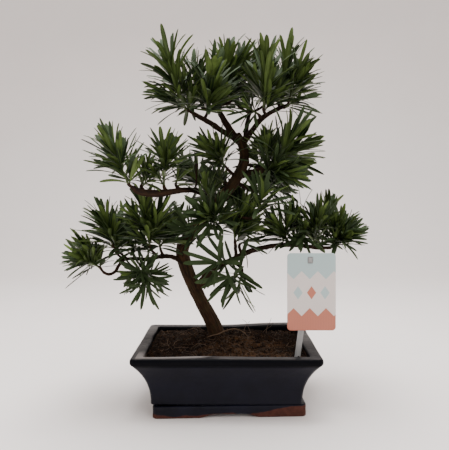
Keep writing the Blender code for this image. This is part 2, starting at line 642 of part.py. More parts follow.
def fill_room():
    """The wood, the stems and the label's card, before any leaf is placed."""
    room = Room()
    room.fill_rows(trunk_rows(), WOOD)
    for name in LIMBS:
        room.fill_rows(limb_rows(name), WOOD)
    room.fill_rows(STUB, WOOD)
    room.fill_rows(BARE_TWIG, WOOD)
    for number, (_, limb, foot, tips) in enumerate(SPRAYS):
        room.fill_rows(twig_rows(limb, foot, spray_way(foot, tips)), WOOD)
        for fork in range(len(tips)):
            room.fill_rows(stem_rows(foot, tips, fork), number)
    x, z = CARD_CENTRE
    for dx in np.linspace(-0.5, 0.5, 14) * CARD_SIZE[0]:
        for dz in np.linspace(-0.5, 0.5, 22) * CARD_SIZE[1]:
            room.fill((x + dx, CARD_FRONT + 1, z + dz), 3.0, LABEL)
    return room


def spray_leaves(number, room, rng):
    """The centre lines of one spray's leaves, each turned or shortened until it is clear of everything else."""
    name, _, foot, tips = SPRAYS[number]
    size, wider, full = HABITS.get(name, PLAIN_HABIT)
    leaves = []
    for fork in range(len(tips)):
        start, end = stem_rows(foot, tips, fork)[:, :3]
        way = unit(end - start)
        reach = np.linalg.norm(end - start)
        count = int(round(full * (LEAVES_AT_LEAST + LEAVES_PER_MM * reach)))
        first_turn = rng.uniform(0, 2 * math.pi)
        for i in range(count):
            share = (i + 0.5) / count
            at = FIRST_LEAF_AT + (1 - FIRST_LEAF_AT) * share
            root = start + way * reach * min(at, LAST_LEAF_AT)
            tilt = wider + LEAF_TILT_HIGH + (LEAF_TILT_LOW - LEAF_TILT_HIGH) * (1 - share)**LEAF_CLOSING
            tilt += rng.uniform(-TILT_JITTER, TILT_JITTER)
            length = LEAF_LENGTH * size * (1 - LEAF_SHORTENING * share) * rng.uniform(*LEAF_LENGTHS)
            turn = first_turn + i * GOLDEN_ANGLE + rng.uniform(-TURN_JITTER, TURN_JITTER)
            leaf = free_leaf(number, room, leaves, (root, way, turn, tilt, length))
            if leaf is not None:
                leaves.append(leaf)
    for line, _, _ in leaves:
        room.fill(line, leaf_half_width(np.linspace(0, 1, LEAF_SAMPLES)), number)
    return leaves


def free_leaf(number, room, leaves, place):
    """The leaf at a place on its stem, in the first turn and length that clears other pieces and leaves round it."""
    root, way, turn, tilt, length = place
    radii = leaf_half_width(np.linspace(0, 1, LEAF_SAMPLES)) + LEAF_CLEAR
    near = [line[OUTER_SAMPLE:] for line, _, _ in leaves]
    for shorter, degrees in LEAF_TRIES:
        leaf = leaf_midline(root, way, turn + math.radians(degrees), tilt, length * shorter, LEAF_SAMPLES)
        outer = leaf[0][OUTER_SAMPLE:]
        crossed = any(np.linalg.norm(outer[:, None] - line[None], axis=2).min() < OWN_LEAVES_APART for line in near)
        if not crossed and room.clearance(leaf[0], radii, number) > 0:
            return leaf
    return None


def leaf_blade(leaf, size):
    """A thin three-sided blade: two edges on top and a keel below, from inside the stem to a point."""
    line, across, upper = leaf
    points = []
    for share, width, depth in LEAF_RINGS:
        i = int(round(share * (LEAF_SAMPLES - 1)))
        half = LEAF_HALF_WIDTH * size * width
        points += [line[i] + across * half, line[i] - across * half, line[i] - upper[i] * LEAF_KEEL * depth]
    points.append(line[-1])
    faces = [(0, 1, 2)]
    for r in range(len(LEAF_RINGS) - 1):
        faces += ring_faces(3, 3 * r, 3 * r + 3)
    last = 3 * (len(LEAF_RINGS) - 1)
    faces += [(last, last + 1, last + 3), (last + 1, last + 2, last + 3), (last + 2, last, last + 3)]
    return mesh_object("leaf", points, faces)


def make_spray(number, room, rng):
    """One leafy spray: its stems as a slim core, with its leaves rooted in them."""
    name, _, foot, tips = SPRAYS[number]
    green = material("dark_green_leaf", (0.030, 0.085, 0.025), 0.35)
    spray = tube("spray_" + name, stem_rows(foot, tips, 0), STEM_SIDES, green)
    parts = [tube("stem", stem_rows(foot, tips, fork), STEM_SIDES) for fork in range(1, len(tips))]
    size = HABITS.get(name, PLAIN_HABIT)[0]
    parts += [leaf_blade(leaf, size) for leaf in spray_leaves(number, room, rng)]
    boolean(spray, parts, "UNION")
    return spray


def centre_footprint(objects):
    """Moves the whole so that its box is centred on the origin, and gathers it under one empty."""
    bpy.context.view_layer.update()
    corners = np.array([tuple(obj.matrix_world @ vertex.co) for obj in objects for vertex in obj.data.vertices])
    middle = (corners.min(axis=0) + corners.max(axis=0)) / 2
    middle[2] = corners[:, 2].min()
    anchor = bpy.data.objects.new("plant_in_pot", None)
    bpy.context.scene.collection.objects.link(anchor)
    for obj in objects:
        obj.data.transform(Matrix.Translation(tuple(-middle)))
        obj.parent = anchor


def main():
    for obj in list(bpy.data.objects):
        bpy.data.objects.remove(obj)
    rng = np.random.default_rng(SEED)
    objects = [make_pot(), make_tray(), make_soil(), make_stake(), make_card(), make_wood()]
    room = fill_room()
    objects += [make_spray(number, room, rng) for number in range(len(SPRAYS))]
    centre_footprint(objects)


main()
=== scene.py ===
"""The looks of a Buddhist pine bonsai: bark, leafy sprays, earth with its fibres, a glazed pot on a clay tray, and
a plain printed plant label.

Lengths in the tables are millimetres from the middle of the pot, with Z up from the surface that the tray stands on
and the viewer's side at -Y. They repeat the places of the solids that the pieces stand for.
"""

import itertools
import math

import bmesh
import bpy
import numpy as np
from mathutils import Matrix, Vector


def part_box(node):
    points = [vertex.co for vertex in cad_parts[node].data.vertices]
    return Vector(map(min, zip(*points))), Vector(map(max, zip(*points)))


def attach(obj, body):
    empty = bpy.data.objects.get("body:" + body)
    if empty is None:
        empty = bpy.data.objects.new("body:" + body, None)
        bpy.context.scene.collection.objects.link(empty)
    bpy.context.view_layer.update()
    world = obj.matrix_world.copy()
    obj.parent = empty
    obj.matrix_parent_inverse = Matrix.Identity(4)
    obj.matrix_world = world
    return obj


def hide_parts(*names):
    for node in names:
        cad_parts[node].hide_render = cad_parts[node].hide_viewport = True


bl_info = {
    "name": "Buddhist Pine Bonsai",
    "version": (1, 0, 0),
    "blender": (4, 5, 0),
    "location": "3D View > Sidebar > Bonsai",
    "description": "Dresses the solids of a potted bonsai with bark, leaves, earth, glaze and a printed label",
    "category": "Object",
}

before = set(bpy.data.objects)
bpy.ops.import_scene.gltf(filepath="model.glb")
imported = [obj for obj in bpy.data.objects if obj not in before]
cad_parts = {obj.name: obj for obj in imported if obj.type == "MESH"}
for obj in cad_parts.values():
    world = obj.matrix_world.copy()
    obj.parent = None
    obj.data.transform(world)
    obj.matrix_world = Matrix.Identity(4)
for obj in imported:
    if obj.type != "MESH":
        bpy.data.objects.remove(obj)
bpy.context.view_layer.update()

MM = 0.001
UP = np.array((0.0, 0.0, 1.0))
BODY = "root"


def middle_of(node):
    """The middle of a solid's box seen from above, on the ground, in metres."""
    low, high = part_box(node)
    return np.array(((low.x + high.x) / 2, (low.y + high.y) / 2, 0.0))


POT_MIDDLE = middle_of("pot")

# Pot, with insets measured inwards from the outside of the rim.
POT_LENGTH = 209.0
POT_WIDTH = 150.0
POT_TOP = 70.0
RIM_CORNER = 6.0
RIM_BREADTH = 12.5
LIP_BOTTOM = 61.5
LIP_INSET = 2.2
BODY_BOTTOM = 14.3
WAIST_INSET = 20.2
FLARE_POWER = 2.2
WALL = 7.0
POT_FLOOR = 21.3
FOOT_INSET = 8.0
FOOT_SIZE = (22.0, 17.0)
FOOT_CORNER = 4.0
FOOT_BOTTOM = 8.6
DRAIN_RADIUS = 7.0
DRAIN_OFFSET = 38.0

# The hand-made unevenness of the rim: it grows between two heights of the wall and, along the rim's inner edge,
# between two insets. The rise at the back right corner grows with x and with y, each between two places.
WAVE_HEIGHTS = (52.0, 68.0)
WAVE_INSETS = (7.0, 12.0)
WAVE_REACH = 90.0
BACK_RISE = 3.2
BACK_RISE_X = (-20.0, 60.0)
BACK_RISE_Y = (30.0, 70.0)

# Drip tray.
TRAY_LENGTH = 170.5
TRAY_WIDTH = 113.0
TRAY_TOP = 13.4
TRAY_WALL = 4.0
TRAY_FLOOR_TOP = 8.3
TRAY_FLOOR_UNDER = 5.2
TRAY_SKIRT = 5.0
TRAY_CORNER = 5.0
TRAY_SHIFT = 1.5
TRAY_TURN = math.radians(2.2)
ARCH_RISE = 4.5
ARCH_LONG = (15.0, 38.0)
ARCH_SHORT = (8.0, 24.0)

# Soil.
SOIL_EDGE = 64.5
SOIL_HEAP = 4.5
SOIL_SPREAD = (55.0, 38.0)
SOIL_RIPPLE = 0.7
SOIL_CORNER = 4.5
SOIL_GRID = (200, 140)
SOIL_LEVELS = (SOIL_EDGE - 6, 50.0, 42.0, 32.0, POT_FLOOR + 0.3)
LUMPS = (9.0, 1.1)
SMALL_LUMPS = (3.2, 1.5)
BROWN_MIDDLE = (18, -6)
BROWN_SPREAD = (32, 22)
IN_BROWN = 0.45
CRUMB_SIZES = (0.4, 2.3)
CRUMB_KNOCKS = (0.7, 1.25)
CRUMB_SQUASH = (1, 0.8, 0.65)
ARCHED_ROOT_TONE = 0.6
ROOT_HAIR_TONE = 0.35
FIBRE_STEPS = 11
FIBRE_BENDS = 0.26
FIBRE_LENGTHS = (6, 26)
FIBRE_THICKNESSES = (0.14, 0.42)
FIBRE_LIFTS = (0.0, 0.3, 1.2, 3.0)
FIBRE_LIFT_CHANCES = (0.45, 0.3, 0.18, 0.07)

# Plant label.
CARD_SIZE = (54.0, 86.0)
CARD_THICKNESS = 0.8
CARD_CORNER = 4.0
CARD_CENTRE = (94.5, 138.3)
CARD_FRONT = -52.0
SLOT_SIZE = (6.0, 7.4)
SLOT_CENTRE = (93.2, 173.5)
STAKE_WIDTH = 6.4
STAKE_THICKNESS = 1.4
STAKE_GAP = 0.3
STAKE_FOOT = (76.2, 44.0)
STAKE_HEAD = (94.4, 181.0)
TONGUE_SIZE = (4.8, 6.0)
TONGUE_PROUD = 0.7
POINT_LENGTH = 7.0
POINT_HALF = 1.2
GROOVE_DEPTH = 0.35
GROOVE_ENDS = (9.0, 1.5)
PRINT_EDGE = 0.25
PRINT_START = 200.0
UPPER_BAND = 14.0
LOWER_BAND = -18.0
LOZENGE_HALF = 5.2
LOZENGE_PLACES = (-15.0, 0.0, 15.0)

# Wood: (x, y, z, radius) down each centre line.
TRUNK = [
    (-5, 30, 40, 9.2), (-12, 30, 69, 9.8), (-20, 30, 88, 9.2), (-33, 30, 112, 8.5), (-46, 29, 140, 8.5),
    (-54, 27, 163, 8.4), (-55, 20, 181, 8.0), (-44, 13, 199, 7.5), (-24, 10, 221, 7.0), (-6, 12, 243, 6.6),
    (11, 16, 266, 6.4), (21, 18, 286, 6.2), (22, 20, 302, 5.8), (17, 20, 317, 5.2), (13, 20, 325, 3.6),
]
LIMBS = {
    "crown_left": [(17, 20, 313, 4.0), (6, 15, 321, 3.6), (-6, 10, 327, 3.4), (-20, 0, 335, 3.1),
                   (-31, -6, 340, 2.8), (-40, -10, 345, 2.4)],
    "crown_middle": [(16, 20, 316, 4.2), (6, 22, 328, 3.9), (-3, 24, 342, 3.6), (-10, 24, 356, 3.1),
                     (-12, 20, 366, 2.5)],
    "crown_right": [(20, 20, 312, 4.0), (33, 14, 329, 3.4), (42, 8, 340, 3.1), (52, 4, 347, 2.9),
                    (65, 0, 353, 2.5), (76, 0, 357, 2.1)],
    "crown_back": [(21, 20, 305, 3.8), (25, 34, 326, 3.2), (28, 46, 346, 2.8), (32, 55, 360, 2.4)],
    "low_right": [(-36, 28, 130, 5.6), (-21, 20, 149, 4.6), (-9, 12, 159, 4.0), (7, 8, 167, 3.3),
                  (29, 10, 177, 3.0), (50, 16, 182, 3.0), (69, 22, 184, 2.9), (94, 26, 183, 2.7),
                  (117, 28, 180, 2.4), (134, 29, 180, 2.0)],
    "low_left": [(-54, 24, 160, 3.8), (-66, 16, 169, 2.9), (-80, 9, 171, 2.6), (-98, 4, 168, 2.4),
                 (-112, 2, 169, 2.1), (-125, 0, 168, 2.0), (-131, -2, 161, 1.9), (-135, -4, 154, 1.9),
                 (-142, -6, 151, 1.8), (-149, -8, 154, 1.7)],
    "upper_left": [(-14, 10, 232, 4.6), (-26, -2, 246, 3.7), (-38, -12, 252, 3.3), (-52, -24, 252, 3.2),
                   (-63, -34, 250, 3.5), (-75, -44, 248, 3.9), (-88, -50, 248, 4.0), (-98, -54, 250, 3.6),
                   (-104, -56, 254, 2.6)],
    "mid_right": [(15, 17, 271, 4.4), (30, 6, 275, 3.4), (42, -6, 278, 2.9), (54, -13, 283, 2.4)],
}
STUB = [(12, 16, 268, 5.6), (20, 6, 281, 5.0), (24, 0, 290, 4.2)]
BARE_TWIG = [(-38, -12, 251, 1.6), (-36, -13, 262, 1.2), (-36, -13, 278, 1.2), (-36, -13, 284, 2.8)]
ROOTS = [
    [(-11, 30, 64, 6.0), (-1, 26, 66, 3.8), (11, 20, 63, 2.4), (18, 17, 58, 1.6)],
    [(-13, 30, 64, 6.0), (-25, 25, 66, 3.6), (-36, 19, 62, 2.2), (-43, 15, 57, 1.5)],
    [(-12, 29, 64, 5.6), (-12, 17, 65.5, 3.4), (-9, 6, 62, 2.1), (-6, 0, 57, 1.5)],
    [(-12, 31, 64, 5.6), (-17, 42, 65.5, 3.2), (-24, 50, 61, 2.0), (-28, 54, 56, 1.4)],
]

# A thin root that arches out of the soil beside the trunk, and hairs of root that poke up at the back rim.
ARCHED_ROOT = [(-27, 16, 67, 0.5), (-19, 17, 70.5, 0.65), (-10, 18, 72.5, 0.7), (-1, 20, 76, 0.65),
               (10, 21, 78, 0.6), (20, 20, 75, 0.5), (27, 18, 69, 0.4), (31, 15, 63, 0.35)]
ROOT_HAIRS = [
    [(22, 46, 64, 0.35), (24, 50, 71, 0.3), (27, 53, 77, 0.25), (24, 54, 80, 0.2), (21, 54, 82, 0.15)],
    [(33, 44, 64, 0.3), (30, 50, 70, 0.3), (28, 54, 75, 0.25), (31, 56, 79, 0.2)],
    [(52, 47, 64, 0.35), (54, 52, 72, 0.3), (58, 55, 78, 0.25), (60, 55, 84, 0.15)],
    [(47, 50, 64, 0.3), (52, 52, 69, 0.25), (59, 53, 73, 0.2), (62, 54, 78, 0.15)],
    [(-70, -8, 64, 0.5), (-71, -9, 70, 0.45), (-70, -10, 75, 0.35)],
]

# The wood's skin: the size and height of its long ridges, its flutes and its knots, how far each is drawn out along
# the wood, and the radii between which thin wood with knots becomes thick wood with ridges.
RIDGE_SIZE = 2.6
RIDGE_DRAWN = 0.16
RIDGE_HEIGHTS = (0.12, 0.3)
FLUTE_SIZE = 7.0
FLUTE_DRAWN = 0.08
FLUTE_HEIGHT = 0.5
KNOT_SIZE = 4.2
KNOT_HEIGHT = 0.9
THIN_WOOD = 2.6
THIN_TO_THICK = 4.5
TUBE_SIDES = 20
LINES_APART = 37.0
AT_ONCE = 8000

# Leafy sprays: name, the limb that bears it, the foot where the green stem begins, and a point beyond the end of
# each stem, where its leaves are thickest.
SPRAYS = [
    ("crown_left_high", "crown_left", (-50, -12, 352), [(-68, -22, 407)]),
    ("crown_left_low", "crown_left", (-47, -15, 348), [(-72, -27, 366)]),
    ("crown_left_front", "crown_left", (-23, -16, 345), [(-18, -34, 381)]),
    ("crown_left_inner", "crown_middle", (-31, 6, 357), [(-38, 2, 396)]),
    ("crown_middle_front", "crown_middle", (-3, 11, 366), [(1, 2, 409)]),
    ("crown_middle_high", "crown_middle", (6, 23, 368), [(16, 15, 417)]),
    ("crown_middle_back", "crown_back", (26, 33, 372), [(33, 34, 414)]),
    ("crown_right_front", "crown_right", (44, -14, 351), [(46, -28, 397)]),
    ("crown_right_high", "crown_right", (64, 5, 362), [(74, 8, 413)]),
    ("crown_right_end", "crown_right", (77, -3, 365), [(85, -11, 395)]),
    ("crown_right_under", "crown_right", (37, -8, 345), [(25, -20, 350)]),
    ("crown_right_low", "crown_right", (71, -12, 352), [(85, -24, 361)]),
    ("crown_back_left", "crown_back", (12, 52, 371), [(-5, 64, 421)]),
    ("crown_back_middle", "crown_back", (34, 63, 371), [(44, 80, 424)]),
    ("crown_back_right", "crown_back", (48, 52, 366), [(79, 62, 404)]),
    ("crown_back_far", "crown_middle", (-24, 33, 362), [(-52, 48, 395)]),
    ("mid_right_front", "mid_right", (60, -19, 287), [(75, -32, 313), (84, -12, 302)]),
    ("mid_right_upright", "mid_right", (51, -3, 290), [(50, 0, 310)]),
    ("mid_right_side", "mid_right", (54, 3, 281), [(80, 20, 290)]),
    ("mid_right_low", "mid_right", (44, -17, 272), [(68, -31, 270)]),
    ("mid_right_back", "trunk", (46, 45, 287), [(73, 66, 308)]),
    ("upper_left_end", "upper_left", (-108, -60, 259), [(-124, -66, 298)]),
    ("upper_left_inner", "upper_left", (-96, -42, 258), [(-93, -30, 276)]),
    ("upper_left_high", "upper_left", (-71, -41, 258), [(-70, -47, 296)]),
    ("upper_left_side", "upper_left", (-59, -27, 260), [(-52, -22, 281)]),
    ("low_left_upright", "low_left", (-92, -12, 187), [(-96, -24, 229), (-80, -20, 220)]),
    ("low_left_high", "low_left", (-137, -9, 188), [(-143, -19, 217)]),
    ("low_left_fork", "low_left", (-136, 2, 178), [(-144, -2, 208), (-130, 14, 206)]),
    ("low_left_end", "low_left", (-155, -8, 161), [(-170, -14, 170), (-166, 2, 187)]),
    ("low_left_hanging", "low_left", (-98, -4, 155), [(-95, -24, 139)]),
    ("low_left_inner", "low_left", (-82, 7, 182), [(-84, 0, 214), (-66, 16, 208)]),
    ("low_left_small", "low_left", (-113, -4, 177), [(-112, -16, 192)]),
    ("centre_front", "trunk", (-10, -16, 210), [(-21, -40, 227)]),
    ("centre_upright", "upper_left", (-20, -13, 241), [(-25, -21, 261)]),
    ("centre_left_high", "trunk", (-3, 2, 284), [(-18, -5, 302)]),
    ("centre_left_mid", "trunk", (-4, -4, 263), [(-18, -12, 272)]),
    ("centre_right_front", "trunk", (35, -33, 226), [(42, -48, 248)]),
    ("centre_low", "low_right", (10, -4, 194), [(7, -12, 226), (25, 8, 219)]),
    ("trunk_shoot", "trunk", (-33, -7, 196), [(-47, -26, 209)]),
    ("centre_low_left", "low_right", (3, -10, 164), [(-14, -30, 169)]),
    ("hanging_right", "low_right", (19, -5, 153), [(13, -10, 131), (-1, -26, 149)]),
    ("small_tuft", "low_right", (17, 4, 187), [(28, 0, 193)]),
    ("low_right_end", "low_right", (139, 28, 184), [(144, 26, 207), (147, 17, 198)]),
    ("low_right_high", "low_right", (123, 32, 187), [(132, 34, 225)]),
    ("low_right_front", "low_right", (111, 20, 187), [(115, 10, 219)]),
    ("low_right_middle", "low_right", (95, 34, 190), [(99, 40, 226)]),
    ("low_right_near", "low_right", (77, 15, 190), [(65, 8, 209)]),
    ("low_right_fork", "low_right", (91, 17, 190), [(97, 0, 209), (84, 36, 226)]),
    ("low_right_back", "low_right", (108, 44, 190), [(129, 64, 209)]),
    ("back_left", "trunk", (-29, 48, 254), [(-50, 68, 282)]),
    ("back_right", "trunk", (46, 48, 254), [(73, 70, 268)]),
    ("back_low", "trunk", (16, 46, 222), [(19, 74, 245)]),
    ("back_middle", "trunk", (-11, 50, 240), [(-20, 76, 258)]),
]
# A spray's own habit: how much larger its leaves are than the rest, how many radians wider they spread, and how
# full the spray is. Only a spray whose fullness is 1 has side shoots.
HABITS = {
    "crown_left_front": (1.2, 0, 1), "crown_right_front": (1.2, 0, 1), "crown_middle_front": (1.1, 0, 1),
    "crown_right_high": (1.1, 0, 1), "mid_right_front": (1.15, 0, 0.9), "hanging_right": (1.0, 0.45, 0.55),
    "low_left_hanging": (0.85, 0.45, 1), "low_left_end": (0.9, 0.2, 1), "centre_right_front": (1.0, 0.05, 0.9),
    "centre_low_left": (1.0, 0.25, 0.7), "low_right_end": (0.95, 0, 1), "small_tuft": (0.8, 0.3, 0.6),
    "crown_right_low": (0.9, 0, 0.8), "centre_left_high": (1.0, 0.15, 1), "centre_left_mid": (0.9, 0.1, 0.9),
    "crown_left_high": (1.1, 0.2, 1), "crown_right_under": (0.75, 0.1, 0.8), "upper_left_inner": (0.65, 0.15, 1),
    "upper_left_side": (0.75, 0.1, 0.9), "upper_left_high": (1.0, 0.2, 1), "mid_right_upright": (0.85, 0.1, 1),
    "trunk_shoot": (0.9, 0.1, 0.7), "centre_upright": (0.7, -0.1, 0.8),
}
PLAIN_HABIT = (1.0, 0, 1)
STEM_RADIUS = 1.3
STEM_TIP_RADIUS = 1.0
STEM_SUNK = 1.2
STEM_SHORTER = 5.0
SHORTER_AT_MOST = 0.3
SHOOT_STEPS = 5
SHOOT_LENGTH = (9.0, 18.0)
SHOOT_LEAN = (math.radians(26), math.radians(50))
SHOOT_LIFT = 0.4
SHOOT_RADII = (1.0, 0.7)
SHOOT_LEAF_SCALE = 0.8
SHOOT_PLACE = (0.12, 0.55)
TWIG_SHOOT_PLACE = (0.5, 0.9)
TWIG_SHOOT_WAY = (0.7, 0.8)
TWIG_RADIUS = 1.5
TWIG_RADIUS_AT_MOST = 2.4
TWIG_LEAN = 0.35
NEAREST_STEPS = 120
TRUNK_STEPS = 150
STEPS_FOR_EACH_POINT = 13
ROOT_STEPS = 26
STUB_STEPS = 16
BARE_TWIG_STEPS = 22
TWIG_STEPS = 16
STEM_STEPS = 9
STEM_SIDES = 8

# Leaves round a stem.
GOLDEN_ANGLE = math.radians(137.5)
LEAF_STEPS = 20
LEAF_STATIONS = (0, 1, 3, 6, 9, 12, 15, 17, 19)
LEAF_WIDTHS = ((0, 0.05, 0.16, 0.32, 0.5, 0.65, 0.8, 0.9, 0.96, 1),
               (0.3, 0.26, 0.62, 0.88, 1, 1, 0.93, 0.78, 0.5, 0.1))
LEAF_SECTION = ((-1.0, -0.3), (-0.5, 0.1), (0.0, 0.36), (0.5, 0.1), (1.0, -0.3), (0.0, -0.45))
LEAF_UPPER = (0.5, 1.0, 1.0, 1.0, 0.5, 0.0)
LEAF_ARCH = (math.radians(-6), math.radians(36))
LEAF_SAG = (0.0, 0.16)
LEAF_TWIST = math.radians(26)
LEAF_TILT_LOW = math.radians(60)
LEAF_TILT_HIGH = math.radians(10)
LEAF_CLOSING = 1.3
LEAF_TILT_SPREAD = 0.24
LEAF_TURN_SPREAD = 0.25
LEAF_LENGTHS = (0.82, 1.08)
LEAF_BREADTHS = (0.75, 1.15)
SHORTER_AT_TIP = 0.12
FIRST_LEAF = 0.12
LAST_LEAF = 0.99
LEAF_TONE = (0.14, 0.58)
LEAF_TONE_SPREAD = 0.27
LEAF_REACH = 1.3
SEARCH_MARGIN = 16
STEM_BLADE = (0.5, 0.5, 1.0)
STEM_TONE = -1.0
LEAF_CLEAR = 0.3
OWN_LEAVES_APART = 1.6
OUTER_SAMPLE = 7
LEAF_TURNS = (0, 12, -12, 24, -24, 38, -38, 54, -54)
LEAF_TRIES = [(shorter, turn) for shorter in (1.0, 0.8, 0.6, 0.45) for turn in LEAF_TURNS]
LEAF_SEED = 41
SOIL_SEED = 5

# What leaves keep clear of besides wood and stems: balls over the card, and over the view of the bare twig's upper
# end, given by its reach towards and away from the viewer and by its reach down and up from the twig's end.
CARD_BALLS = (14, 22)
CARD_BALL_RADIUS = 3.0
WINDOW_DEPTHS = (-75.0, 33.0)
WINDOW_HEIGHTS = (-20.0, 4.0)
WINDOW_BALLS = (19, 5)
WINDOW_BALL_RADIUS = 3.2

# Colours that only a small part of a finish has.
LIP_BLACK = (0.0012, 0.0013, 0.0024)
# The next colour is a painted highlight for the pale strip on the front left of the rim's inner edge.
PAINTED_RIM_HIGHLIGHT = (0.19, 0.17, 0.16)
POT_GRIT = (0.14, 0.15, 0.17)
CLAY_GRIT = (0.06, 0.025, 0.016)
# The next two colours are painted shade for the bark's hollows and cracks.
BARK_HOLLOW_SHADE = (0.008, 0.005, 0.004)
BARK_CRACK_SHADE = (0.012, 0.007, 0.005)
PRINTED_LINE = (0.20, 0.09, 0.06)
DARK_FIBRE = (0.016, 0.009, 0.005)
DARK_ROOT = (0.030, 0.018, 0.011)
LIGHT_ROOT = (0.20, 0.115, 0.060)

# Where a finish changes: the share of the second look rises from 0 to 1 between two places, in millimetres. The rim
# has a painted highlight at the front left of its inner edge, more broadly further left. The tray's bare clay stands
# higher at the right and left of its front, over the arch and where a slow noise lifts it. The earth is brown round a
# place to the right of the trunk.
# The first four places bound the rim's painted highlight.
RIM_HIGHLIGHT_X = (-8.0, -16.0)
RIM_HIGHLIGHT_Y = (-40.0, -58.0)
RIM_HIGHLIGHT_WIDENS_X = (-14.0, -30.0)
RIM_HIGHLIGHT_WIDER = 5.0
CLAY_FRONT_Y = (-40.0, -52.0)
CLAY_RIGHT_X = (18.0, 84.0)
CLAY_RIGHT_RISE = 9.3
CLAY_LEFT_X = (-52.0, -76.0)
CLAY_LEFT_RISE = 1.6
CLAY_ARCH_X = (42.0, 22.0)
CLAY_ARCH_RISE = 1.4
CLAY_WANDER = 6.0
BROWN_MIDDLE_X = 20.0
BROWN_REACH_X = (64.0, 10.0)
BROWN_Y = (34.0, -4.0)

# Camera and light, in millimetres and degrees, round the pot.
EYE = (0.0, -580.0, 236.0)
LENS = 38.0
SHIFT = (-0.0045, -0.0468)
STAGE_SIDE = 6000.0
SWEEP_START = 900.0
SWEEP_RADIUS = 900.0
KEY_PLACE = (-60, 80, 1250)
KEY_SIZE = 800
FILL_PLACE = (900, -700, 700)
FILL_SIZE = 1200
LAMPS_AIM = (0, 0, 200)


# Curves and meshes


def unit(v):
    """Vectors brought to a length of one."""
    v = np.asarray(v, float)
    return v / np.linalg.norm(v, axis=-1, keepdims=True)


def ramp(value, low, high):
    """A straight rise from 0 where the value is low to 1 where it is high, level beyond them."""
    return np.clip((value - low) / (high - low), 0, 1)


def smooth_line(points, count):
    """Evenly spaced points of the Catmull-Rom curve through the rows, whose last column may be a radius."""
    p = np.asarray(points, float)
    p = np.vstack([2 * p[0] - p[1], p, 2 * p[-1] - p[-2]])
    t = np.linspace(0, len(p) - 3 - 1e-9, count)
    i = t.astype(int)
    f = (t - i)[:, None]
    a, b, c, d = p[i], p[i + 1], p[i + 2], p[i + 3]
    return 0.5 * (2 * b + (c - a) * f + (2 * a - 5 * b + 4 * c - d) * f**2 + (3 * b - a - 3 * c + d) * f**3)


def bent_line(start, end, start_way, end_way, count):
    """The Hermite curve between two points that leaves and arrives along the given directions."""
    reach = np.linalg.norm(np.subtract(end, start))
    t = np.linspace(0, 1, count)[:, None]
    a = (2 * t**3 - 3 * t**2 + 1) * start + (t**3 - 2 * t**2 + t) * reach * start_way
    return a + (3 * t**2 - 2 * t**3) * end + (t**3 - t**2) * reach * end_way


def square_to(direction):
    """A unit vector square to a direction."""
    helper = np.array((1.0, 0.0, 0.0)) if abs(direction[0]) < 0.8 else UP
    return unit(np.cross(direction, helper))


def carried_frames(line):
    """The direction of the line at each point, and two vectors square to it that go along it without twist."""
    along = unit(np.gradient(line, axis=0))
    first = [square_to(along[0])]
    for direction in along[1:]:
        first.append(unit(first[-1] - direction * np.dot(first[-1], direction)))
    first = np.array(first)
    return along, first, np.cross(along, first)


def lattice_noise(points, size, seed):
    """Smooth noise from -1 to 1: each corner of a cubic lattice has a value hashed from its place, and a point
    blends the eight corners round it with a quintic ease."""
    place = np.asarray(points, float) / size
    cell = np.floor(place).astype(np.int64)
    share = place - cell
    share = share**3 * (share * (share * 6 - 15) + 10)
    total = np.zeros(place.shape[:-1])
    for corner in itertools.product((0, 1), repeat=3):
        x, y, z = np.moveaxis(cell + corner, -1, 0)
        key = (x * 73856093) ^ (y * 19349663) ^ (z * 83492791) ^ (seed * 2654435761)
        key = (key ^ (key >> 13)) * 1274126177
        value = ((key ^ (key >> 16)) & 0xFFFFFF) / 0x7FFFFF - 1
        total += value * np.prod(np.where(corner, share, 1 - share), axis=-1)
    return total


def rough(points, size, octaves, seed):
    """Layers of smooth noise, each half the size and half the height of the one before."""
    return sum(lattice_noise(points, size / 2**k, seed + k) / 2**k for k in range(octaves))


def ring_grid(rows, columns, first=0):
    """Faces between rings of points: each joins a point, its neighbour round the ring and the two above them."""
    here = first + np.arange((rows - 1) * columns).reshape(rows - 1, columns)
    beside = np.roll(here, -1, axis=1)
    return np.stack([here, beside, beside + columns, here + columns], axis=-1).reshape(-1, 4).tolist()


def capped_rings(rows, columns):
    """Faces of a closed tube of rings: the two end caps, and the faces between the rings."""
    last = (rows - 1) * columns
    return [list(range(columns)), list(range(last, last + columns))] + ring_grid(rows, columns)


def new_object(name, data):
    """An object for a mesh, a lamp or a camera, linked to the scene."""
    made = bpy.data.objects.new(name, data)
    bpy.context.scene.collection.objects.link(made)
    return made


def new_piece(name, points, faces, finish=None, sharp=40.0):
    """An object from points in millimetres round the pot, its faces turned outwards and its shading smooth, except
    where two faces meet at more than the sharp angle."""
    mesh = bpy.data.meshes.new(name)
    mesh.from_pydata((np.asarray(points, float).reshape(-1, 3) * MM + POT_MIDDLE).tolist(), [], faces)
    work = bmesh.new()
    work.from_mesh(mesh)
    bmesh.ops.recalc_face_normals(work, faces=work.faces)
    work.to_mesh(mesh)
    work.free()
    piece = new_object(name, mesh)
    if finish is not None:
        mesh.materials.append(finish)
    shade(piece, sharp)
    return piece


def shade(piece, sharp):
    """Smooth shading, except where two faces meet at more than the sharp angle in degrees."""
    piece.data.shade_smooth()
    piece.data.set_sharp_from_angle(angle=math.radians(sharp))


def set_values(piece, name, values):
    """Stores a number or a vector for each point of a piece, for its material to read."""
    values = np.asarray(values, np.float32)
    vector = values.ndim == 2
    layer = piece.data.attributes.new(name, "FLOAT_VECTOR" if vector else "FLOAT", "POINT")
    layer.data.foreach_set("vector" if vector else "value", values.ravel())


def dress(piece, slot, *nodes):
    """Puts a finished piece on the plant's body, in place of the solids that it stands for."""
    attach(piece, BODY)
    if nodes:
        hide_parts(*nodes)
    return piece


def loft(name, rings, finish=None, sharp=40.0):
    """A closed solid through rings of equal point count, capped at both ends."""
    return new_piece(name, np.vstack(rings), capped_rings(len(rings), len(rings[0])), finish, sharp)


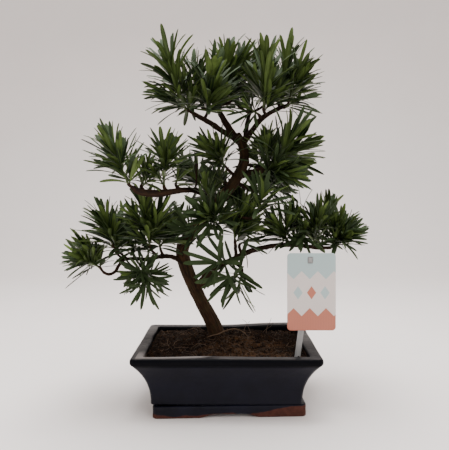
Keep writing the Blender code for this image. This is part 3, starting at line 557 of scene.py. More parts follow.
def write_shape(piece):
    """Writes a piece's evaluated shape into its own mesh and drops its modifiers."""
    bpy.context.view_layer.update()
    graph = bpy.context.evaluated_depsgraph_get()
    mesh = bpy.data.meshes.new_from_object(piece.evaluated_get(graph))
    piece.modifiers.clear()
    old = piece.data
    piece.data = mesh
    bpy.data.meshes.remove(old)
    mesh.name = piece.name


def boolean(piece, others, operation):
    """Joins the others to the piece, or cuts them from it, and removes them."""
    for other in others:
        modifier = piece.modifiers.new("boolean", "BOOLEAN")
        modifier.operation = operation
        modifier.object = other
        modifier.solver = "EXACT"
        write_shape(piece)
        bpy.data.objects.remove(other)
    return piece


def rounded_ring(half_x, half_y, corner, z, centre=(0.0, 0.0), corner_steps=9, side_steps=24):
    """Points round a level rectangle whose corners are quarter circles and whose sides are evenly divided,
    anticlockwise from the right-hand side."""
    arc = np.linspace(0, math.pi / 2, corner_steps)
    rows = []
    for quarter, (sx, sy) in enumerate(((1, 1), (-1, 1), (-1, -1), (1, -1))):
        turn = arc + quarter * math.pi / 2
        rows.append(np.stack([sx * (half_x - corner) + corner * np.cos(turn),
                              sy * (half_y - corner) + corner * np.sin(turn)], axis=1))
    sides = []
    for here, beyond in zip(rows, rows[1:] + rows[:1]):
        share = np.linspace(0, 1, side_steps + 1)[1:-1, None]
        sides += [here, here[-1] + share * (beyond[0] - here[-1])]
    flat = np.vstack(sides) + centre
    return np.column_stack([flat, np.broadcast_to(z, len(flat))])


def tube(rows, sides):
    """Points and faces of a tapering round tube along rows of (x, y, z, radius), closed at both ends."""
    rows = np.asarray(rows, float)
    _, first, second = carried_frames(rows[:, :3])
    turn = np.arange(sides) * 2 * math.pi / sides
    round_it = np.cos(turn)[:, None, None] * first + np.sin(turn)[:, None, None] * second
    points = rows[:, None, :3] + rows[:, None, 3:] * np.swapaxes(round_it, 0, 1)
    return points.reshape(-1, 3), capped_rings(len(rows), sides)


def gathered(parts):
    """Several (points, faces) as one."""
    points = []
    faces = []
    first = 0
    for some_points, some_faces in parts:
        points.append(some_points)
        faces += [[first + i for i in face] for face in some_faces]
        first += len(some_points)
    return np.vstack(points), faces


# Shader building


def node(tree, kind, inputs=None, **settings):
    """A shader node with its settings, whose inputs are values or the sockets that feed them."""
    made = tree.nodes.new("ShaderNode" + kind)
    for key, value in settings.items():
        setattr(made, key, value)
    for key, value in (inputs or {}).items():
        feed(tree, made.inputs[key], value)
    return made


def feed(tree, socket, value):
    """Links a socket to an input, or sets the input's plain value. A colour may be given without its alpha."""
    if isinstance(value, bpy.types.NodeSocket):
        tree.links.new(value, socket)
    elif socket.type == "RGBA" and len(value) == 3:
        socket.default_value = (*value, 1.0)
    else:
        socket.default_value = value


def calc(tree, operation, first, second=0.0):
    """The result of a Math node on one or two numbers or sockets."""
    return node(tree, "Math", {0: first, 1: second}, operation=operation).outputs[0]


def times(tree, first, second):
    return calc(tree, "MULTIPLY", first, second)


def times_plus(tree, value, factor, base):
    """The base, and more or less of it as the value grows: factor times value plus base."""
    return node(tree, "Math", {0: value, 1: factor, 2: base}, operation="MULTIPLY_ADD").outputs[0]


def share_of(tree, value, low, high):
    """A smooth rise from 0 where the value is low to 1 where it is high."""
    inputs = {"Value": value, "From Min": low, "From Max": high}
    return node(tree, "MapRange", inputs, interpolation_type="SMOOTHSTEP").outputs["Result"]


def mixed(tree, share, first, second):
    """A blend of two colours or heights: all the first at a share of 0 and all the second at 1."""
    made = node(tree, "Mix", data_type="RGBA")
    for index, value in ((0, share), (6, first), (7, second)):
        feed(tree, made.inputs[index], value)
    return made.outputs[2]


def shaded(colour, factor):
    """A colour made darker, or lighter up to white, by a factor."""
    return tuple(min(1.0, part * factor) for part in colour)


def layered_noise(tree, vector, scale, detail, roughness=0.5):
    """Noise from 0 to 1 whose widest waves come at the scale, in waves for each unit of the vector."""
    inputs = {"Vector": vector, "Scale": scale, "Detail": detail, "Roughness": roughness}
    return node(tree, "TexNoise", inputs).outputs[0]


def millimetres(tree):
    """The place on a piece in millimetres from the middle of the pot."""
    place = node(tree, "TexCoord").outputs["Object"]
    inputs = {"Vector": place, "Location": tuple(-POT_MIDDLE / MM), "Scale": (1 / MM,) * 3}
    return node(tree, "Mapping", inputs).outputs[0]


def parts_of(tree, vector):
    """The x, y and z of a vector."""
    return node(tree, "SeparateXYZ", {0: vector}).outputs


def stored(tree, name):
    """The outputs that read what set_values stored on a piece."""
    return node(tree, "Attribute", attribute_name=name, attribute_type="GEOMETRY").outputs


def relief(tree, height, depth, strength=1.0):
    """A normal from a height between 0 and 1 that stands for a depth in millimetres."""
    return node(tree, "Bump", {"Height": height, "Distance": depth * MM, "Strength": strength}).outputs[0]


def new_group(name, inputs, outputs):
    """An empty shader group, with its input and output nodes."""
    tree = bpy.data.node_groups.new(name, "ShaderNodeTree")
    for label, kind, value in inputs:
        socket = tree.interface.new_socket(label, in_out="INPUT", socket_type="NodeSocket" + kind)
        if value is not None:
            socket.default_value = value
    for label, kind in outputs:
        tree.interface.new_socket(label, in_out="OUTPUT", socket_type="NodeSocket" + kind)
    return tree, tree.nodes.new("NodeGroupInput").outputs, tree.nodes.new("NodeGroupOutput").inputs


def mottle_group():
    """Soft patches: layered noise of a given size, with its contrast raised about the middle."""
    name = "Mottle"
    if name in bpy.data.node_groups:
        return bpy.data.node_groups[name]
    inputs = [("Vector", "Vector", None), ("Size", "Float", 10.0), ("Softness", "Float", 0.2)]
    tree, given, result = new_group(name, inputs, [("Mask", "Float")])
    scale = calc(tree, "DIVIDE", 1.0, given["Size"])
    noise = layered_noise(tree, given["Vector"], scale, 4.0, 0.6)
    low = calc(tree, "SUBTRACT", 0.5, given["Softness"])
    high = calc(tree, "ADD", 0.5, given["Softness"])
    tree.links.new(share_of(tree, noise, low, high), result["Mask"])
    return tree


def speckle_group():
    """Scattered grains: round dots in the cells of a Voronoi pattern, of which only a share is kept."""
    name = "Speckle"
    if name in bpy.data.node_groups:
        return bpy.data.node_groups[name]
    inputs = [("Vector", "Vector", None), ("Size", "Float", 1.0), ("Kept", "Float", 0.3)]
    tree, given, result = new_group(name, inputs, [("Mask", "Float")])
    scale = calc(tree, "DIVIDE", 1.0, given["Size"])
    cells = node(tree, "TexVoronoi", {"Vector": given["Vector"], "Scale": scale})
    dot = share_of(tree, cells.outputs["Distance"], 0.42, 0.12)
    chance = parts_of(tree, cells.outputs["Color"])[0]
    kept = calc(tree, "LESS_THAN", chance, given["Kept"])
    tree.links.new(times(tree, dot, kept), result["Mask"])
    return tree


def mottle(tree, vector, size, softness=0.2):
    """Soft patches of a size in millimetres, from 0 to 1, whose edges are more blurred the larger the softness."""
    inputs = {"Vector": vector, "Size": size, "Softness": softness}
    return node(tree, "Group", inputs, node_tree=mottle_group()).outputs[0]


def speckle(tree, vector, size, kept):
    """Grains, each in a cell of a size in millimetres, of which only a share is kept."""
    return node(tree, "Group", {"Vector": vector, "Size": size, "Kept": kept}, node_tree=speckle_group()).outputs[0]


def new_finish(name, plain):
    """A material with its shader's plain values set. It returns the material, its tree and the shader's inputs."""
    made = bpy.data.materials.new(name)
    made.use_nodes = True
    inputs = made.node_tree.nodes["Principled BSDF"].inputs
    for key, value in plain.items():
        inputs[key].default_value = value
    return made, made.node_tree, inputs


def raise_relief(tree, inputs, height, depth, strength=1.0):
    """Feeds the shader's normal from a height between 0 and 1 that stands for a depth in millimetres."""
    feed(tree, inputs["Normal"], relief(tree, height, depth, strength))


def facing_up(tree):
    """How squarely the surface faces the sky, from 0 at a slope to 1 when level."""
    geometry = node(tree, "NewGeometry").outputs["Normal"]
    return share_of(tree, parts_of(tree, geometry)[2], 0.75, 0.98)


# Finishes


def glaze_finish(settings):
    """Dark blue-black glaze with a thin satin coat: faint cloudy patches, a slow ripple, a blacker and duller band
    round the lip, a painted highlight in a pale strip along the front left of the rim's inner edge, and a dusting of
    grit on what faces up."""
    plain = {"IOR": 1.2, "Specular IOR Level": 0.2, "Coat IOR": 1.2, "Coat Roughness": 0.34}
    made, tree, inputs = new_finish("dark_blue_glaze", plain)
    place = millimetres(tree)
    x, y, z = parts_of(tree, place)
    cloud = mottle(tree, place, 26.0, 0.25)
    colour = mixed(tree, cloud, shaded(settings.glaze, 0.8), shaded(settings.glaze, 1.3))
    colour = mixed(tree, share_of(tree, z, LIP_BOTTOM - 1, LIP_BOTTOM + 0.5), colour, LIP_BLACK)
    # Painted highlight: a pale strip along the front left of the rim's inner edge stands in for the light caught
    # there.
    side_inset = calc(tree, "SUBTRACT", POT_LENGTH / 2, calc(tree, "ABSOLUTE", x))
    end_inset = calc(tree, "SUBTRACT", POT_WIDTH / 2, calc(tree, "ABSOLUTE", y))
    inset = calc(tree, "MINIMUM", side_inset, end_inset)
    wider = times(tree, share_of(tree, x, *RIM_HIGHLIGHT_WIDENS_X), RIM_HIGHLIGHT_WIDER)
    strip = calc(tree, "SUBTRACT", RIM_BREADTH - 1.5, wider)
    edge = times(tree, share_of(tree, calc(tree, "SUBTRACT", inset, strip), -0.5, 0.5),
                 share_of(tree, z, POT_TOP - 5, POT_TOP - 2.5))
    front_left = times(tree, share_of(tree, y, *RIM_HIGHLIGHT_Y), share_of(tree, x, *RIM_HIGHLIGHT_X))
    rim_highlight_mask = times(tree, edge, front_left)
    colour = mixed(tree, times(tree, rim_highlight_mask, 0.8), colour, PAINTED_RIM_HIGHLIGHT)
    grit = times(tree, facing_up(tree), speckle(tree, place, 1.5, 0.55))
    colour = mixed(tree, times(tree, grit, 0.16), colour, POT_GRIT)
    feed(tree, inputs["Base Color"], colour)
    band = share_of(tree, calc(tree, "ABSOLUTE", calc(tree, "SUBTRACT", z, LIP_BOTTOM + 3.5)), 5.5, 4.0)
    feed(tree, inputs["Coat Weight"], times_plus(tree, band, -0.6, 0.6))
    dull = times_plus(tree, cloud, 0.08, 0.30)
    feed(tree, inputs["Roughness"], calc(tree, "ADD", dull, times(tree, grit, 0.25)))
    raise_relief(tree, inputs, layered_noise(tree, place, 1 / 14.0, 3.0), 1.6, 0.5)
    return made


def tray_finish(settings):
    """The same glaze, which stops short of the foot: below a wandering line the bare terracotta shows, high on the
    front's right half and only a strip elsewhere."""
    made, tree, inputs = new_finish("tray_glaze_and_clay", {"IOR": 1.22})
    place = millimetres(tree)
    x, y, z = parts_of(tree, place)
    wander = layered_noise(tree, place, 1 / 16.0, 3.0)
    front = share_of(tree, y, *CLAY_FRONT_Y)
    right = times(tree, share_of(tree, x, *CLAY_RIGHT_X), front)
    left = times(tree, share_of(tree, x, *CLAY_LEFT_X), front)
    arch = share_of(tree, calc(tree, "ABSOLUTE", x), *CLAY_ARCH_X)
    line = times(tree, right, CLAY_RIGHT_RISE)
    for share, rise in ((left, CLAY_LEFT_RISE), (arch, CLAY_ARCH_RISE), (wander, CLAY_WANDER)):
        line = calc(tree, "ADD", line, times(tree, share, rise))
    bare = share_of(tree, calc(tree, "SUBTRACT", line, z), -0.5, 0.3)
    clay = mixed(tree, mottle(tree, place, 5.0), shaded(settings.clay, 0.62), settings.clay)
    clay = mixed(tree, times(tree, speckle(tree, place, 1.1, 0.3), 0.5), clay, CLAY_GRIT)
    glaze = mixed(tree, mottle(tree, place, 20.0), shaded(settings.glaze, 0.8), shaded(settings.glaze, 1.5))
    feed(tree, inputs["Base Color"], mixed(tree, bare, glaze, clay))
    feed(tree, inputs["Roughness"], times_plus(tree, bare, 0.45, 0.34))
    pores = layered_noise(tree, place, 0.8, 4.0)
    ripple = layered_noise(tree, place, 1 / 12.0, 2.0)
    raise_relief(tree, inputs, mixed(tree, bare, ripple, pores), 0.7, 0.6)
    return made


def earth_finish(settings):
    """Damp dark peat with browner, more fibrous ground to the right of the trunk, and pale specks."""
    made, tree, inputs = new_finish("dark_earth", {"Roughness": 0.95, "Specular IOR Level": 0.08})
    place = millimetres(tree)
    x, y, _ = parts_of(tree, place)
    from_middle = calc(tree, "ABSOLUTE", calc(tree, "SUBTRACT", x, BROWN_MIDDLE_X))
    brown_ground = times(tree, share_of(tree, from_middle, *BROWN_REACH_X), share_of(tree, y, *BROWN_Y))
    brown_ground = times(tree, brown_ground, mottle(tree, place, 24.0, 0.2))
    patch = mottle(tree, place, 7.0, 0.16)
    share = times(tree, patch, times_plus(tree, brown_ground, 0.92, 0.08))
    colour = mixed(tree, share, settings.earth, settings.fibre)
    fleck = times(tree, speckle(tree, place, 1.3, 0.14), 0.5)
    colour = mixed(tree, fleck, colour, shaded(settings.fibre, 2.2))
    feed(tree, inputs["Base Color"], colour)
    raise_relief(tree, inputs, layered_noise(tree, place, 0.9, 5.0, 0.7), 1.0, 0.9)
    return made


def strand_finish(name, dark, light):
    """Dry root and coir: each strand has its own tone between dark and light."""
    made, tree, inputs = new_finish(name, {"Roughness": 0.85})
    tone = stored(tree, "tone")["Fac"]
    grain = mottle(tree, millimetres(tree), 1.6, 0.2)
    colour = mixed(tree, tone, dark, light)
    colour = mixed(tree, times(tree, grain, 0.35), colour, dark)
    feed(tree, inputs["Base Color"], colour)
    raise_relief(tree, inputs, grain, 0.15)
    return made


def bark_finish(settings):
    """Thin flaking bark: long fibres along the wood, red-brown on the trunk and nearly black on the limbs, with an
    olive film in patches, and painted shade that darkens its hollows and cracks."""
    made, tree, inputs = new_finish("brown_bark", {"Roughness": 0.85, "Specular IOR Level": 0.15})
    grain = stored(tree, "grain")["Vector"]
    girth = stored(tree, "girth")["Fac"]
    height = stored(tree, "height")["Fac"]
    place = millimetres(tree)
    fibres = layered_noise(tree, grain, 0.9, 5.0, 0.65)
    flakes = mottle(tree, grain, 3.4, 0.14)
    brown = mixed(tree, flakes, shaded(settings.bark, 0.45), settings.bark)
    film = times(tree, mottle(tree, place, 13.0, 0.1), 0.55)
    brown = mixed(tree, film, brown, settings.film)
    dark = mixed(tree, flakes, shaded(settings.bark, 0.18), shaded(settings.bark, 0.5))
    colour = mixed(tree, share_of(tree, girth, 0.35, 0.85), dark, brown)
    # Painted shade: the low parts of the bark's relief and the grooves between its fibres are darkened.
    colour = mixed(tree, times(tree, share_of(tree, height, 0.5, 0.1), 0.75), colour, BARK_HOLLOW_SHADE)
    colour = mixed(tree, times(tree, share_of(tree, fibres, 0.56, 0.36), 0.5), colour, BARK_CRACK_SHADE)
    feed(tree, inputs["Base Color"], colour)
    raise_relief(tree, inputs, fibres, 0.9, 0.8)
    return made


def leaf_finish(settings):
    """A leathery leaf: dark glossy green above with a paler midrib and its own tone, duller and paler below. Where
    the tone is under zero the surface is a green stem."""
    made, tree, inputs = new_finish("dark_green_leaf", {"IOR": 1.26})
    across, along, upper = parts_of(tree, stored(tree, "blade")["Vector"])
    tone = stored(tree, "tone")["Fac"]
    place = millimetres(tree)
    cloud = mottle(tree, place, 9.0, 0.25)
    young = times(tree, calc(tree, "MAXIMUM", tone, 0.0), times_plus(tree, cloud, 0.5, 0.6))
    above = mixed(tree, young, settings.old, settings.young)
    rib = share_of(tree, calc(tree, "ABSOLUTE", across), 0.2, 0.04)
    above = mixed(tree, times(tree, rib, 0.55), above, settings.rib)
    base = share_of(tree, along, 0.22, 0.02)
    above = mixed(tree, times(tree, base, 0.6), above, settings.rib)
    below = mixed(tree, young, settings.below, shaded(settings.below, 1.3))
    top = share_of(tree, upper, 0.44, 0.56)
    colour = mixed(tree, top, below, above)
    stem = calc(tree, "LESS_THAN", tone, -0.5)
    rind = mixed(tree, cloud, settings.stem, shaded(settings.stem, 0.5))
    feed(tree, inputs["Base Color"], mixed(tree, stem, colour, rind))
    dull = times_plus(tree, top, -0.22, 0.6)
    feed(tree, inputs["Roughness"], calc(tree, "ADD", dull, times(tree, cloud, 0.08)))
    raise_relief(tree, inputs, layered_noise(tree, place, 0.6, 3.0), 0.25, 0.6)
    return made


def card_finish(settings):
    """Printed card: a zigzag band of cool grey-blue above, one of fine-lined terracotta below, and three lozenges
    on the pale ground between them. The back is plain."""
    made, tree, inputs = new_finish("printed_card", {"Roughness": 0.42})
    place = millimetres(tree)
    x, y, z = parts_of(tree, place)
    u = calc(tree, "SUBTRACT", x, CARD_CENTRE[0])
    v = calc(tree, "SUBTRACT", z, CARD_CENTRE[1])
    zigzag = calc(tree, "PINGPONG", calc(tree, "ADD", u, PRINT_START), 9.0)
    high = share_of(tree, calc(tree, "SUBTRACT", v, zigzag), UPPER_BAND - PRINT_EDGE, UPPER_BAND + PRINT_EDGE)
    low = share_of(tree, calc(tree, "ADD", v, zigzag), LOWER_BAND + PRINT_EDGE, LOWER_BAND - PRINT_EDGE)
    lines = share_of(tree, calc(tree, "PINGPONG", calc(tree, "ADD", u, PRINT_START), 0.9), 0.55, 0.75)
    warm = mixed(tree, times(tree, lines, 0.25), settings.warm, PRINTED_LINE)
    ground = mixed(tree, mottle(tree, place, 30.0, 0.3), settings.card, shaded(settings.card, 0.94))
    colour = mixed(tree, high, ground, settings.cool)
    colour = mixed(tree, low, colour, warm)
    for offset, paint in zip(LOZENGE_PLACES, (settings.cool, settings.warm, settings.cool)):
        from_middle = calc(tree, "ABSOLUTE", calc(tree, "SUBTRACT", u, offset))
        from_row = times(tree, calc(tree, "ABSOLUTE", calc(tree, "ADD", v, 1.0)), 0.7)
        reach = calc(tree, "ADD", from_middle, from_row)
        lozenge = share_of(tree, reach, LOZENGE_HALF + PRINT_EDGE, LOZENGE_HALF - PRINT_EDGE)
        colour = mixed(tree, lozenge, colour, paint)
    front = share_of(tree, y, CARD_FRONT + 0.3, CARD_FRONT + 0.1)
    feed(tree, inputs["Base Color"], mixed(tree, front, settings.card, colour))
    raise_relief(tree, inputs, layered_noise(tree, place, 3.0, 2.0), 0.05, 0.4)
    return made


def stake_finish(settings):
    """Milky plastic with faint scuffs along the strip."""
    made, tree, inputs = new_finish("milky_plastic", {"IOR": 1.5, "Transmission Weight": 0.15})
    scuff = mottle(tree, millimetres(tree), 6.0, 0.3)
    feed(tree, inputs["Base Color"], mixed(tree, scuff, settings.stake, shaded(settings.stake, 0.85)))
    feed(tree, inputs["Roughness"], times_plus(tree, scuff, 0.2, 0.28))
    return made


def floor_finish(settings):
    """Plain pale matt surface with barely visible clouding."""
    made, tree, inputs = new_finish("pale_floor", {"Roughness": 0.7})
    cloud = mottle(tree, millimetres(tree), 260.0, 0.4)
    feed(tree, inputs["Base Color"], mixed(tree, cloud, settings.floor, shaded(settings.floor, 0.96)))
    return made


# Pot and tray


def pot_inset(z):
    """How far the outside of the body stands in from the rim at a height: least under the lip and most at the foot,
    along a hollow power curve."""
    share = np.clip((z - BODY_BOTTOM) / (LIP_BOTTOM - BODY_BOTTOM), 0, 1)
    return LIP_INSET + (WAIST_INSET - LIP_INSET) * (1 - share**FLARE_POWER)


def pot_inner_inset(z):
    """How far the inside of the wall stands in from the rim at a height."""
    return np.maximum(RIM_BREADTH + 0.8, pot_inset(z) + WALL)


def pot_ring(inset, z):
    """A level ring round the pot, whose corners tighten a little as it stands further in from the rim."""
    return rounded_ring(POT_LENGTH / 2 - inset, POT_WIDTH / 2 - inset, RIM_CORNER - 0.1 * inset, z)


def pot_profile():
    """(inset, height) up the outside, over the rounded lip, across the rim and down the inside."""
    heights = np.linspace(BODY_BOTTOM, LIP_BOTTOM, 30)
    body = np.column_stack([pot_inset(heights), heights])
    lip = smooth_line([(LIP_INSET, LIP_BOTTOM), (0.6, 63.4), (0.05, 65.8), (0.3, 68.4), (1.2, 69.7),
                       (2.8, POT_TOP)], 16)[1:]
    rim = smooth_line([(2.8, POT_TOP), (7.0, POT_TOP - 0.1), (RIM_BREADTH - 1.2, POT_TOP - 0.25),
                       (RIM_BREADTH, POT_TOP - 0.9), (RIM_BREADTH + 0.7, POT_TOP - 2.4)], 14)[1:]
    inner = np.linspace(POT_TOP - 5, POT_FLOOR, 14)
    return np.vstack([body, lip, rim, np.column_stack([pot_inner_inset(inner), inner])])


def make_pot(settings):
    """The pot's shell from its profile, with a slow hand-made wave in the rim's height and in its inner edge, and a
    rise at its back right corner, that fade out down the walls, and with four feet and two drains."""
    wave = settings.rim_wave / MM
    rings = []
    for inset, z in pot_profile():
        ring = pot_ring(inset, z)
        turn = np.arctan2(ring[:, 1] / POT_WIDTH, ring[:, 0] / POT_LENGTH)
        rise = ramp(z, *WAVE_HEIGHTS)
        inner = ramp(inset, *WAVE_INSETS) * rise
        ring[:, 2] += wave * rise * (np.sin(3 * turn + 0.6) * 0.55 + np.sin(7 * turn + 2.0) * 0.25)
        warp = ramp(ring[:, 0], *BACK_RISE_X) * ramp(ring[:, 1], *BACK_RISE_Y)
        ring[:, 2] += BACK_RISE * rise * warp**2 * (3 - 2 * warp)
        shift = wave * inner * (np.sin(5 * turn) * 0.8 + np.sin(11 * turn + 1.0) * 0.5)
        ring[:, :2] *= 1 + shift[:, None] / WAVE_REACH
        rings.append(ring)
    pot = loft("pot_shell", rings, glaze_finish(settings), sharp=50)
    half_x = POT_LENGTH / 2 - WAIST_INSET - FOOT_INSET - FOOT_SIZE[0] / 2
    half_y = POT_WIDTH / 2 - WAIST_INSET - FOOT_INSET - FOOT_SIZE[1] / 2
    levels = ((1.6, FOOT_BOTTOM), (0.7, FOOT_BOTTOM + 0.5), (0.0, FOOT_BOTTOM + 2.0), (0.0, BODY_BOTTOM + 2.0))
    feet = [loft("foot", [rounded_ring(FOOT_SIZE[0] / 2 - taper, FOOT_SIZE[1] / 2 - taper, FOOT_CORNER - taper, z,
                                       (sx * half_x, sy * half_y), side_steps=3) for taper, z in levels])
            for sx in (-1, 1) for sy in (-1, 1)]
    boolean(pot, feet, "UNION")
    drains = [new_piece("drain", *tube([(side * DRAIN_OFFSET, 0, BODY_BOTTOM - 2, DRAIN_RADIUS),
                                        (side * DRAIN_OFFSET, 0, POT_FLOOR + 2, DRAIN_RADIUS)], 40))
              for side in (-1, 1)]
    boolean(pot, drains, "DIFFERENCE")
    shade(pot, 50)
    return dress(pot, "pot_glaze", "pot")


def arch_outline(flat, reach):
    """An arch from below the tray: a cosine rise from each end to a flat middle, as (sideways, z)."""
    share = np.linspace(0, 1, 16)
    rise = ARCH_RISE * (1 - np.cos(math.pi * share)) / 2
    left = [(-reach + (reach - flat) * s, z) for s, z in zip(share, rise)]
    right = [(-x, z) for x, z in reversed(left)]
    return [(-reach, -2.0), *left, *right, (reach, -2.0)]


def make_tray(settings):
    """The tray's shell from its profile, with soft edges, and a low arch cut through each side's skirt."""
    outside = smooth_line([(1.6, 0.0), (0.4, 0.4), (0.0, 1.6), (0.15, 7.0), (0.0, TRAY_TOP - 1.5),
                           (0.5, TRAY_TOP - 0.4), (1.6, TRAY_TOP)], 24)
    inside = smooth_line([(TRAY_WALL - 1.4, TRAY_TOP), (TRAY_WALL - 0.3, TRAY_TOP - 0.5),
                          (TRAY_WALL, TRAY_TOP - 1.6), (TRAY_WALL + 0.8, TRAY_FLOOR_TOP + 0.6),
                          (TRAY_WALL + 2.0, TRAY_FLOOR_TOP)], 12)
    profile = [(TRAY_SKIRT, TRAY_FLOOR_UNDER), (TRAY_SKIRT, 0.0), *outside, *inside]
    tray = loft("tray_shell", [
        rounded_ring(TRAY_LENGTH / 2 - inset, TRAY_WIDTH / 2 - inset, max(TRAY_CORNER - 0.4 * inset, 1.0), z,
                     (TRAY_SHIFT, 0)) for inset, z in profile], tray_finish(settings))
    front = [np.array([(x + TRAY_SHIFT, y, z) for x, z in arch_outline(*ARCH_LONG)])
             for y in (-TRAY_WIDTH, TRAY_WIDTH)]
    side = [np.array([(x, y, z) for y, z in arch_outline(*ARCH_SHORT)]) for x in (-TRAY_LENGTH, TRAY_LENGTH)]
    boolean(tray, [loft("front_arch", front), loft("side_arch", side)], "DIFFERENCE")
    middle = Matrix.Translation(tuple(POT_MIDDLE))
    tray.data.transform(middle @ Matrix.Rotation(TRAY_TURN, 4, "Z") @ middle.inverted())
    shade(tray, 40)
    return dress(tray, "tray_glaze", "drip_tray")


# Soil


def soil_height(x, y):
    """The soil's surface: level at the edge, heaped in a bell shape at the trunk, with a few shallow ripples."""
    foot = TRUNK[1]
    bell = np.exp(-((x - foot[0]) / SOIL_SPREAD[0]) ** 2 - ((y - foot[1]) / SOIL_SPREAD[1]) ** 2)
    return SOIL_EDGE + SOIL_HEAP * bell + SOIL_RIPPLE * np.sin(x / 11.0) * np.cos(y / 9.0)


def crumbled(x, y):
    """The soil's surface with lumps of a few sizes on it."""
    flat = np.stack([x, y, np.zeros_like(x)], axis=-1)
    large = rough(flat, LUMPS[0], 2, SOIL_SEED) * LUMPS[1]
    small = np.abs(rough(flat, SMALL_LUMPS[0], 3, SOIL_SEED + 9)) * SMALL_LUMPS[1]
    return soil_height(x, y) + (large + small) - 0.5


def make_soil_body(settings):
    """The block of earth: a fine grid of its crumbled top, whose corners are drawn in to the pot's, and rings from
    the grid's edge down to the pot's floor."""
    half_x = POT_LENGTH / 2 - pot_inner_inset(SOIL_EDGE) - 0.1
    half_y = POT_WIDTH / 2 - pot_inner_inset(SOIL_EDGE) - 0.1
    corner = SOIL_CORNER
    columns, rows = SOIL_GRID
    x, y = np.meshgrid(np.linspace(-half_x, half_x, columns), np.linspace(-half_y, half_y, rows))
    past_x = np.maximum(np.abs(x) - half_x + corner, 0)
    past_y = np.maximum(np.abs(y) - half_y + corner, 0)
    past = np.maximum(np.hypot(past_x, past_y) / corner, 1)
    x -= np.sign(x) * past_x * (1 - 1 / past)
    y -= np.sign(y) * past_y * (1 - 1 / past)
    top = np.stack([x, y, crumbled(x, y)], axis=-1)
    index = np.arange(rows * columns).reshape(rows, columns)
    quads = np.stack([index[:-1, :-1], index[:-1, 1:], index[1:, 1:], index[1:, :-1]], axis=-1).reshape(-1, 4)
    edge = np.concatenate([index[0, :-1], index[:-1, -1], index[-1, :0:-1], index[:0:-1, 0]])
    rim = top.reshape(-1, 3)[edge]
    points = [top.reshape(-1, 3)]
    faces = quads.tolist()
    before = edge
    first = rows * columns
    for z in SOIL_LEVELS:
        inset = float(pot_inner_inset(z)) + 0.3
        ring = rim * ((POT_LENGTH / 2 - inset) / half_x, (POT_WIDTH / 2 - inset) / half_y, 0)
        ring[:, 2] = z
        here = first + np.arange(len(edge))
        faces += np.stack([before, here, np.roll(here, -1), np.roll(before, -1)], axis=-1).tolist()
        points.append(ring)
        before = here
        first += len(edge)
    faces.append(before.tolist())
    body = new_piece("earth", np.vstack(points), faces, earth_finish(settings), sharp=180)
    return dress(body, "soil", "soil")


def icosahedron():
    """The twelve corners and twenty faces of a regular solid of radius one."""
    golden = (1 + math.sqrt(5)) / 2
    corners = [np.roll((0, a, b * golden), turn) for turn in range(3) for a in (-1, 1) for b in (-1, 1)]
    corners = unit(np.array(corners, float))
    apart = np.linalg.norm(corners[:, None] - corners[None], axis=2)
    touching = (apart > 0.1) & (apart < 1.2)
    faces = [(i, j, k) for i, j, k in itertools.combinations(range(12), 3)
             if touching[i, j] and touching[j, k] and touching[i, k]]
    return corners, np.array(faces)


def scattered(count, rng):
    """Places on the soil, thickest in the browner ground to the right of the trunk and clear of the pot's wall."""
    half = np.array((POT_LENGTH / 2, POT_WIDTH / 2)) - RIM_BREADTH - 3
    wide = rng.uniform(-1, 1, (count, 2)) * half
    near = rng.normal(BROWN_MIDDLE, BROWN_SPREAD, (count, 2))
    places = np.where(rng.random((count, 1)) < IN_BROWN, near, wide)
    return np.clip(places, -half, half)


def make_crumbs(settings):
    """Lumps of earth sunk a little in the surface, each a squashed and knocked about icosahedron."""
    rng = np.random.default_rng(SOIL_SEED)
    count = settings.crumbs
    corners, faces = icosahedron()
    places = scattered(count, rng)
    size = rng.gamma(3.0, 0.3, count).clip(*CRUMB_SIZES)
    spin = rng.normal(size=(count, 3, 3))
    spin = np.linalg.qr(spin)[0]
    lumps = corners * rng.uniform(*CRUMB_KNOCKS, (count, 12, 1)) * size[:, None, None]
    lumps = (lumps * CRUMB_SQUASH) @ spin
    lumps += np.column_stack([places, crumbled(places[:, 0], places[:, 1]) + size * 0.25])[:, None]
    faces = (faces[None] + 12 * np.arange(count)[:, None, None]).reshape(-1, 3)
    piece = new_piece("earth_crumbs", lumps, faces.tolist(), earth_finish(settings), sharp=30)
    return dress(piece, "soil")


def wandering_strand(place, heading, length, thickness, lift, rng):
    """A strand that lies on the soil along a slowly turning heading and may arch up from it in the middle."""
    turn = heading + np.cumsum(rng.normal(0, FIBRE_BENDS, FIBRE_STEPS))
    step = length / (FIBRE_STEPS - 1)
    flat = place + np.cumsum(np.stack([np.cos(turn), np.sin(turn)], axis=1) * step, axis=0)
    half = np.array((POT_LENGTH / 2, POT_WIDTH / 2)) - RIM_BREADTH - 1.5
    flat = np.clip(flat, -half, half)
    share = np.linspace(0, 1, FIBRE_STEPS)
    z = crumbled(flat[:, 0], flat[:, 1]) + thickness * 0.6
    z = z + lift * np.sin(math.pi * share) - 0.5 * (2 * share - 1) ** 6
    return np.column_stack([flat, z, thickness * (1 - 0.5 * share)])


def make_fibres(settings):
    """Coir and root fibres scattered over the soil."""
    rng = np.random.default_rng(SOIL_SEED + 1)
    strands = []
    tones = []
    for place in scattered(settings.fibres, rng):
        length = rng.uniform(*FIBRE_LENGTHS)
        thickness = rng.uniform(*FIBRE_THICKNESSES)
        lift = rng.choice(FIBRE_LIFTS, p=FIBRE_LIFT_CHANCES)
        rows = wandering_strand(place, rng.uniform(0, 2 * math.pi), length, thickness, lift, rng)
        strands.append(tube(rows, 3))
        tones.append(np.full(len(strands[-1][0]), rng.random() ** 1.6))
    piece = new_piece("soil_fibres", *gathered(strands),
                      strand_finish("dry_fibre", DARK_FIBRE, settings.strand), sharp=180)
    set_values(piece, "tone", np.concatenate(tones))
    return dress(piece, "soil")


